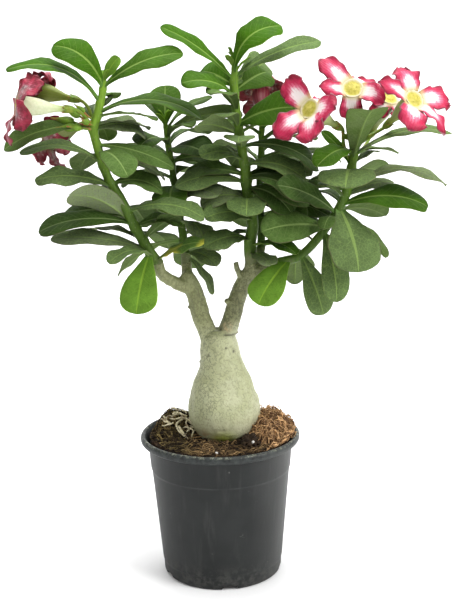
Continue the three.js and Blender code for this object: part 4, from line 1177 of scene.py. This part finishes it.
# for each stem: how light its green is at the foot and at the top, how far down its young
# top reaches, and how woody its foot is
STEM_TONES = {
    "left_stem": (0.34, 1, 120, 0.5),
    "centre_stem": (0.36, 0.72, 150, 0.8),
    "right_stem": (0.28, 0.7, 60, 0.25),
    "back_left_stem": (0.26, 0.7, 60, 0.8),
    "back_stem": (0.14, 0.6, 60, 1),
}


def stem_point(line, height):
    k = 0
    while k < len(line) - 2 and line[k + 1][2] < height:
        k += 1
    low, high = Vector(line[k][:3]), Vector(line[k + 1][:3])
    return low.lerp(high, clamp((height - low.z) / (high.z - low.z)))


def leaf_frame(row):
    along = bearing(row[1], row[2])
    face = Matrix.Rotation(radians(row[6]), 3, along) @ bearing(row[1], row[2] + 90)
    return along, face, along.cross(face)


def leaf_point(row, base, axes, t):
    along, face, across = axes
    centre = base + along * (row[3] * t) + face * (row[5] * 4 * t * (1 - t))
    slope = along * row[3] + face * (row[5] * 4 * (1 - 2 * t))
    return centre, across.cross(slope).normalized()


def leaf_samples(row, base):
    axes = leaf_frame(row)
    points = []
    for t in (0.3, 0.48, 0.66, 0.84, 1):
        centre, _ = leaf_point(row, base, axes, t)
        reach = 0 if t == 1 else row[4] * 0.4
        points += [centre + axes[2] * (step * reach) for step in (-1, 0, 1)]
    return points


def add_hidden_leaves():
    """The leaves on the hidden sides, by the rule of the part's source."""
    taken = []
    for name, stem in STEMS.items():
        stem["grown"] = [list(row) for row in stem["leaves"]]
        for row in stem["grown"]:
            taken += [(name, p) for p in leaf_samples(row, stem_point(stem["line"], row[0]))]
        for i in range(13):
            height = mixed(stem["line"][0][2], stem["line"][-1][2], i / 12)
            taken.append((name, stem_point(stem["line"], height)))
    mouths = [Vector(bloom[3]) for bloom in BLOOMS.values()]
    draw = seeded(41)
    for name, stem in STEMS.items():
        count, low, high, azimuth = stem["fill"]
        for i in range(count):
            height = mixed(low, high, i / (count - 1))
            rise = -22 + 36 * (i / (count - 1)) + 14 * (draw() - 0.5)
            length = 60 + 18 * draw()
            width = 27 + 8 * draw()
            roll = 70 * (draw() - 0.5)
            base = stem_point(stem["line"], height)
            for turn in range(5):
                row = [height, azimuth + GOLDEN_ANGLE * i + 31 * turn, rise, length, width, 8, roll]
                samples = leaf_samples(row, base)
                if any(p.y <= HIDDEN_FRONT for p in samples):
                    continue
                if any((m - p).length <= BLOOM_CLEARANCE for p in samples for m in mouths):
                    continue
                gaps = ((OWN_GAP if other == name else OTHER_GAP, q) for other, q in taken)
                if any((q - p).length <= gap for gap, q in gaps for p in samples):
                    continue
                stem["grown"].append(row)
                taken += [(name, p) for p in samples]
                break


def leaf_share(t, widest):
    """Half width of a spoon-shaped leaf, as a share of its width."""
    if t < widest:
        return 0.05 + 0.45 * smooth(t, -0.06, widest) ** 0.85
    past = (t - widest) / (1 - widest)
    return max(0.012, 0.5 * sqrt(max(0.0, 1 - past**2.2)))


def grow_leaf(shell, row, base, tone, draw):
    axes = leaf_frame(row)
    across = axes[2]
    length, width = row[3:5]
    widest = 0.66 + 0.1 * draw()
    if len(row) > 7 and row[7] > 20:
        widest = 0.93
    fold = radians(row[7] if len(row) > 7 else 6 + 11 * draw())
    ripple = (0.7 + 1.2 * draw()) * min(1, width / 26)
    beats = 1.6 + 1.4 * draw()
    phases = (draw(), draw())
    droop = 3.5 * draw() * length / 70
    lean = 0.9 * (draw() - 0.5)
    upper, lower = [], []
    for t in LEAF_STATIONS:
        centre, normal = leaf_point(row, base, axes, t)
        half = width * leaf_share(t, widest)
        angle = fold * (1.15 - 0.5 * t)
        sink = droop * max(0.0, t - 0.7) ** 2 * 8
        top_row, low_row = [], []
        for column in LEAF_COLUMNS:
            away = abs(column)
            wave = ripple * away**2.5 * smooth(t, 0.15, 0.45)
            wave *= sin(TURN * (beats * t + phases[column > 0]))
            lift = half * away * sin(angle) - 0.1 * half * away**3 + wave - sink
            lift += 0.5 * lean * column * half * 0.2
            middle = centre + across * (column * half * cos(angle)) + normal * lift
            spine = exp(-((column * half / 0.9) ** 2))
            thick = 0.42 - 0.2 * away
            foot = 0.9 * smooth(t, 0.2, 0.0)
            if away == 1:
                edge = shell.add(middle, (t, column, 0.5), tone)
                top_row.append(edge)
                low_row.append(edge)
                continue
            up = thick - 0.28 * spine * smooth(t, 0, 0.1) + foot * spine
            down = thick + (0.25 + 0.95 * (1 - t)) * spine + foot * spine
            top_row.append(shell.add(middle + normal * up, (t, column, 1), tone))
            low_row.append(shell.add(middle - normal * down, (t, column, 0), tone))
        upper.append(top_row)
        lower.append(low_row)
    shell.blade(upper, lower)
    shell.faces.append(tuple(reversed(upper[-1][:-1] + lower[-1][:0:-1])))


def make_stem(name, seed):
    stem = STEMS[name]
    line, leaves = stem["line"], stem["grown"]
    draw = seeded(seed)
    top = line[-1][2]
    foot_light, top_light, young, foot_wood = STEM_TONES[name]
    blades = Shell()
    for i, row in enumerate(leaves):
        letter = stem["looks"][i] if i < len(stem["looks"]) else ("m" if draw() > 0.45 else "d")
        light, dull, yellow = LOOKS[letter]
        light = clamp(light + 0.12 * (draw() - 0.5))
        grow_leaf(blades, row, stem_point(line, row[0]), (light, dull, yellow), draw)
    for i in range(6):
        height = top - 1 - 1.6 * i
        row = [height, GOLDEN_ANGLE * i + 40, 68 - 5 * i, 11 + 1.7 * i, 4.5 + 0.8 * i, 1.2, 0]
        grow_leaf(blades, row, stem_point(line, height), (1.0, 0, 0), draw)
    blades.make(name + "_leaves", LEAF, [name])

    wood = Shell()
    points = [Vector(p[:3]) for p in line]
    radii = [p[3] for p in line]
    points[0] = points[0] - (points[1] - points[0]).normalized() * 2.2
    feet = [(stem_point(line, row[0]), bearing(row[1], 0)) for row in leaves]

    def shape(out, centre, radius):
        bump = 0.0
        for foot, heading in feet:
            rise = centre.z - foot.z
            if abs(rise) < 7:
                bump += exp(-((rise + 1) ** 2) / 8) * max(0.0, out.dot(heading)) ** 3
        rough = 0.05 * noise.noise(centre / 6 + out) + 0.03 * noise.noise(centre / 2 + out * 2)
        return radius * (1 + rough) + 1.1 * min(bump, 1)

    rings = wood.tube(points, radii, 18, 11 * len(points), (0, 0, 0), shape)
    for ring in rings:
        height = sum(wood.points[k].z for k in ring) / len(ring)
        fresh = mixed(foot_light, top_light, smooth(height, top - young, top - 15))
        woody = foot_wood * smooth(height, line[0][2] + 30, line[0][2] - 5)
        for k in ring:
            wood.tone[k] = (fresh, woody, 0)
    wood.make(name + "_stalk", STEM, [name])


add_hidden_leaves()
for order, stem_name in enumerate(STEMS):
    make_stem(stem_name, 60 + order)

# ------------ blooms

# for each bloom: how crimson its tube is, how wilted its lobes are, and how green its tube is
BLOOM_TONES = {
    "bloom_front": (0, 0, 0.75),
    "bloom_middle": (0, 0, 0.3),
    "bloom_right": (0, 0, 0.85),
    "bloom_behind": (0, 0.1, 0.6),
    "bloom_back": (1, 1, 0.8),
    "bloom_left": (0, 0.85, 0.15),
    "bloom_left_upper": (0, 1, 0.95),
    "bloom_left_lower": (0, 0.9, 0.8),
}


def lobe_half_width(v):
    if v < 0.66:
        return mixed(6.2, LOBE_HALF_WIDTH, smooth(v, -0.26, 0.56))
    return LOBE_HALF_WIDTH * sqrt(max(0.0, 1 - ((v - 0.66) / 0.37) ** 2))


def make_bloom(name, seed):
    _, _, neck, mouth, turn, slope, curl, size = BLOOMS[name]
    stain, wilt, green = BLOOM_TONES[name]
    neck, mouth = Vector(neck), Vector(mouth)
    axis = (mouth - neck).normalized()
    depth = (mouth - neck).length
    across, other = upright(axis)
    draw = seeded(seed)

    def place(radius, angle, height, aside=0.0):
        outward = across * cos(angle) + other * sin(angle)
        point = mouth + outward * radius + axis * height + axis.cross(outward) * aside
        point.y = max(point.y, FRONT)
        return point

    rows = columns = 15
    shares = [copysign(abs(s) ** 0.8, s) for s in (2 * j / columns - 1 for j in range(columns + 1))]
    petals = Shell()
    even = [(360 * (i + 0.5) / LOBES + turn, 0, 1, 1) for i in range(LOBES)]
    for toward, tilt, longer_share, wider in LOBE_ROWS.get(name, even):
        middle = radians(toward)
        lobe_curl = curl + 14 * (draw() - 0.5)
        twist = 3 * (draw() - 0.2)
        first = slope + tilt + 10 * (draw() - 0.5)
        first -= LEANS.get(name, 0) * cos(middle)
        waves = [[1.6 * (draw() - 0.5) for _ in range(3)] for _ in range(3)]
        phases = (draw(), draw(), draw())
        ruffle = 1.6 + 1.0 * draw() - 0.5 * wilt
        lobe_size = size * (0.94 + 0.1 * draw())
        bend = 2.4 * (draw() - 0.5)
        radius, height = TUBE_MOUTH_RADIUS - 0.5, -0.6
        lines = []
        angle = first + 0.5 * lobe_curl
        for i in range(rows + 1):
            v = i / rows
            if i:
                angle = first - lobe_curl * (3 * (v - 0.5 / rows) - 0.5)
                length = size * longer_share * LOBE_LENGTH / rows
                radius, height = step(radius, height, radians(angle), length)
            tip_out, tip_up = polar(1, radians(angle))
            line = []
            for s in shares:
                half = lobe_size * mixed(1, wider, smooth(v, 0, 0.3)) * lobe_half_width(v)
                arc = radians(36) * s
                start = (1 - smooth(v, 0, 0.45)) * TUBE_MOUTH_RADIUS * (1 - cos(arc))
                longer = 3 * (1 - s * s) * smooth(v, 0.5, 1)
                row = min(int(v * 3), 2)
                w = v * 3 - row
                here = [waves[row - 1][k] if row else 0 for k in range(3)]
                wave = [mixed(here[k], waves[row][k], w) for k in range(3)]
                flat = wave[1] * (1 - abs(s)) + wave[0 if s < 0 else 2] * abs(s)
                lift = twist * s * v + flat
                frill = sin(TURN * (2.3 * v + phases[s > 0]))
                lift += ruffle * abs(s) ** 1.7 * smooth(v, 0.12, 0.5) * frill
                lift += 0.8 * smooth(v, 0.7, 1) * sin(TURN * (1.3 * s + phases[2]))
                lift -= 1.4 * s**3 * smooth(v, 0.1, 0.6)
                r = radius - start + longer * tip_out - lift * tip_up
                h = height + longer * tip_up + lift * tip_out
                line.append(place(r, middle, h, s * half + bend * v * v))
            lines.append(line)
        # both skins of the lobe, which share its margin
        upper, lower = [], []
        for i, line in enumerate(lines):
            above, below = [], []
            v = i / rows
            for j, (s, point) in enumerate(zip(shares, line)):
                du = line[min(j + 1, columns)] - line[max(j - 1, 0)]
                dv = lines[min(i + 1, rows)][j] - lines[max(i - 1, 0)][j]
                skin = dv.cross(du).normalized() * PETAL_SKIN
                tone = (0, 0, wilt)
                if j in (0, columns) or i == rows:
                    above.append(petals.add(point, (v, s, 0.5), tone))
                    below.append(above[-1])
                else:
                    above.append(petals.add(point + skin, (v, s, 1), tone))
                    below.append(petals.add(point - skin, (v, s, 0), tone))
            upper.append(above)
            lower.append(below)
        petals.blade(upper, lower)

    def funnel(shell, outer, inner, rows, tone, inward):
        """A closed skin between two funnels, each a row of (radius, height)."""
        sides = 40
        rings = []
        for profile in (outer, inner):
            last = len(profile) - 1
            for i in range(rows + 1):
                t = i / rows if profile is outer else 1 - i / rows
                radius, height = (
                    curve_value([(k / last, p[n]) for k, p in enumerate(profile)], t)
                    for n in (0, 1)
                )
                ring = []
                for j, a in enumerate(turns(sides)):
                    ribbed = radius * (1 + 0.035 * cos(5 * a + radians(5 * turn)))
                    ring.append(shell.add(place(ribbed, a, height), (t, j / sides, inward), tone))
                rings.append(ring)
        for a, b in zip(rings, rings[1:] + rings[:1]):
            shell.bridge(a, b)

    # the throat's yellow lining and the cone of anthers in it
    lining_out = [(6.6, -depth * 0.3), (7.4, -depth * 0.2), (8.0, -depth * 0.1), (8.3, -0.9)]
    lining_in = [(6.2, -depth * 0.3), (7.0, -depth * 0.2), (7.6, -depth * 0.1), (7.9, -0.9)]
    funnel(petals, lining_out, lining_in, 8, (1, 0, 0), 1)
    cone = [(6.9, -depth * 0.2), (8.3, -0.6), (8.9, 0.2), (8.2, -0.1), (7.2, -0.5), (5.4, -0.4),
            (2.6, 0.1), (0.7, 0.8)]
    rings = []
    for radius, height in cone:
        tone = (1 - smooth(radius, 4.5, 10), 0, wilt)
        ring = []
        for a in turns(30):
            ribbed = radius * (1 + 0.03 * cos(5 * a))
            fold = 0.3 * cos(10 * a) * (4 < radius < 6)
            ring.append(petals.add(place(ribbed, a, height + fold), (0.1, 0.3, 1), tone))
        rings.append(ring)
    petals.close(rings)
    for j in range(5):
        a = TURN * (j + 0.3) / 5
        line = [place(1.4, a, -depth * 0.14), place(2.8, a + 0.5, -0.6), place(4.6, a + 1.1, 1.2)]
        petals.tube(line, [0.34, 0.26, 0.14], 5, 8, (0.85, 0.3, 0))
    petals.make(name + "_petals", PETAL, [name])

    tube = Shell()
    outer = [(TUBE_NECK_RADIUS, -depth), (3.3, -depth * 0.8), (7.4, -depth * 0.42), (8.7, -0.3)]
    inner = [(TUBE_NECK_RADIUS - 0.7, -depth), (2.6, -depth * 0.8), (6.95, -depth * 0.42),
             (8.45, -0.3)]
    funnel(tube, outer, inner, 14, (stain, green, 0), 1)
    tube.make(name + "_tube", TUBE, [name])

    # stalk and calyx, which grow from the stem
    stem_name, stalk = BLOOMS[name][:2]
    green_parts = Shell()
    top = neck - axis * SEAT_GAP
    foot = top - axis * CALYX_LENGTH
    inside = foot.lerp(top, 0.3)
    radii = [PEDICEL_RADIUS * 1.15, PEDICEL_RADIUS, PEDICEL_RADIUS * 1.1]
    green_parts.tube([*stalk, foot, inside], radii, 12, 22, (0.7, 0, 0.15))
    rings = []
    steps = [(0, 1.3), (1.5, 2.2), (3.5, 3.0), (6, 3.5), (8, 3.6), (9.3, 3.7), (9.1, 3.2), (6, 2.6)]
    for i, (height, radius) in enumerate(steps):
        ring = []
        for a in turns(30):
            star = cos(5 * a / 2) ** 2
            h = height + (3.2 * star if i in (5, 6) else 1.4 * star * (i == 4))
            r = radius * (1 + 0.1 * (star - 0.5) * (i > 1))
            outward = across * cos(a) + other * sin(a)
            tone = (0.75, 0, 0.15 + 0.65 * star * (i in (5, 6)))
            ring.append(green_parts.add(foot + axis * h + outward * r, (0, 0, 0), tone))
        rings.append(ring)
    green_parts.close(rings)
    green_parts.make(name + "_calyx", STEM, [stem_name])


for order, bloom_name in enumerate(BLOOMS):
    make_bloom(bloom_name, 100 + order)

# young buds at two flower heads: foot, azimuth and rise of the bud, length, radius
BUDS = [
    ((-107, -22, 424), 178, 12, 27, 4.6), ((-106, -23, 427), -176, 28, 20, 3.8),
    ((-107, -23, 422), -172, 2, 23, 4.2), ((-106, -22, 430), -160, 42, 15, 3.2),
    ((-106, -24, 421), -158, 8, 17, 3.8), ((-105, -22, 424), -120, 20, 13, 3.2),
    ((122, -20, 404), -150, 40, 12, 2.5), ((124, -20, 404), -30, 30, 11, 2.4),
]


def make_buds():
    shell = Shell()
    draw = seeded(77)
    for foot, azimuth, rise, length, radius in BUDS:
        axis = bearing(azimuth, rise)
        foot = Vector(foot)
        base = foot + axis * length * 0.55
        sagging = foot.lerp(base, 0.5) - UP * 0.5
        shell.tube([foot, sagging, base], [1.0, 0.9, 1.1], 9, 8, (0.7, 0, 0.7))
        across, other = upright(axis)
        rings = []
        for i in range(11):
            t = i / 10
            reach = radius * (0.3 + 0.7 * sin(pi * min(1, t * 1.15 + 0.12))) * (1 - 0.55 * t)
            centre = base + axis * (length * 0.75 * t)
            tone = (0.85 - 0.2 * t, 0, 0.9 * smooth(t, 0.55, 1))
            ring = []
            for a in turns(20):
                ribbed = reach * (1 + 0.12 * cos(5 * a + 2.5 * t)) + 0.1 * draw()
                point = centre + (across * cos(a) + other * sin(a)) * ribbed
                ring.append(shell.add(point, (t, 0, 0), tone))
            rings.append(ring)
        shell.close(rings)
    shell.make("young_buds", STEM, ["left_stem", "right_stem"])


make_buds()

# ------------ floor and light


def make_floor():
    """A pale floor that rises in a wide curve behind the plant."""
    bend = 0.9
    quarter = [pi / 2 * i / 12 for i in range(1, 13)]
    profile = [(-2.6, 0.0), (1.0, 0.0)]
    profile += [(1.0 + bend * sin(a), bend - bend * cos(a)) for a in quarter]
    profile.append((1.9, 3.2))
    points = [(x, y, z - 0.0002) for y, z in profile for x in (-3.2, 3.2)]
    faces = [(2 * i, 2 * i + 1, 2 * i + 3, 2 * i + 2) for i in range(len(profile) - 1)]
    mesh = bpy.data.meshes.new("floor")
    mesh.from_pydata(points, [], faces)
    mesh.shade_smooth()
    s = Shader("pale_floor")
    s.colour = s.mix(s.noise(120, 2), (0.9, 0.9, 0.9), (0.93, 0.93, 0.93))
    mesh.materials.append(s.finish(0.85))
    floor = bpy.data.objects.new("floor", mesh)
    bpy.context.scene.collection.objects.link(floor)


def make_light(name, place, aim, size, power):
    lamp = bpy.data.lights.new(name, "AREA")
    lamp.size = size
    lamp.energy = power
    holder = bpy.data.objects.new(name, lamp)
    holder.location = place
    holder.rotation_euler = (Vector(aim) - Vector(place)).to_track_quat("-Z", "Y").to_euler()
    bpy.context.scene.collection.objects.link(holder)


make_floor()
make_light("key", (1.6, -1.0, 1.5), (0, 0, 0.3), 0.9, 41)
make_light("fill", (-1.6, -1.0, 1.5), (0, 0, 0.3), 1.2, 6.5)
make_light("top", (0.1, -0.1, 2.1), (0, 0, 0.3), 1.1, 20)
make_light("backdrop", (0, 0.6, 2.6), (0, 1.9, 0.7), 1.6, 60)
world = bpy.data.worlds.new("studio")
world.use_nodes = True
colour, strength = world.node_tree.nodes["Background"].inputs[:2]
colour.default_value = (1, 1, 1, 1)
strength.default_value = 0.5
bpy.context.scene.world = world
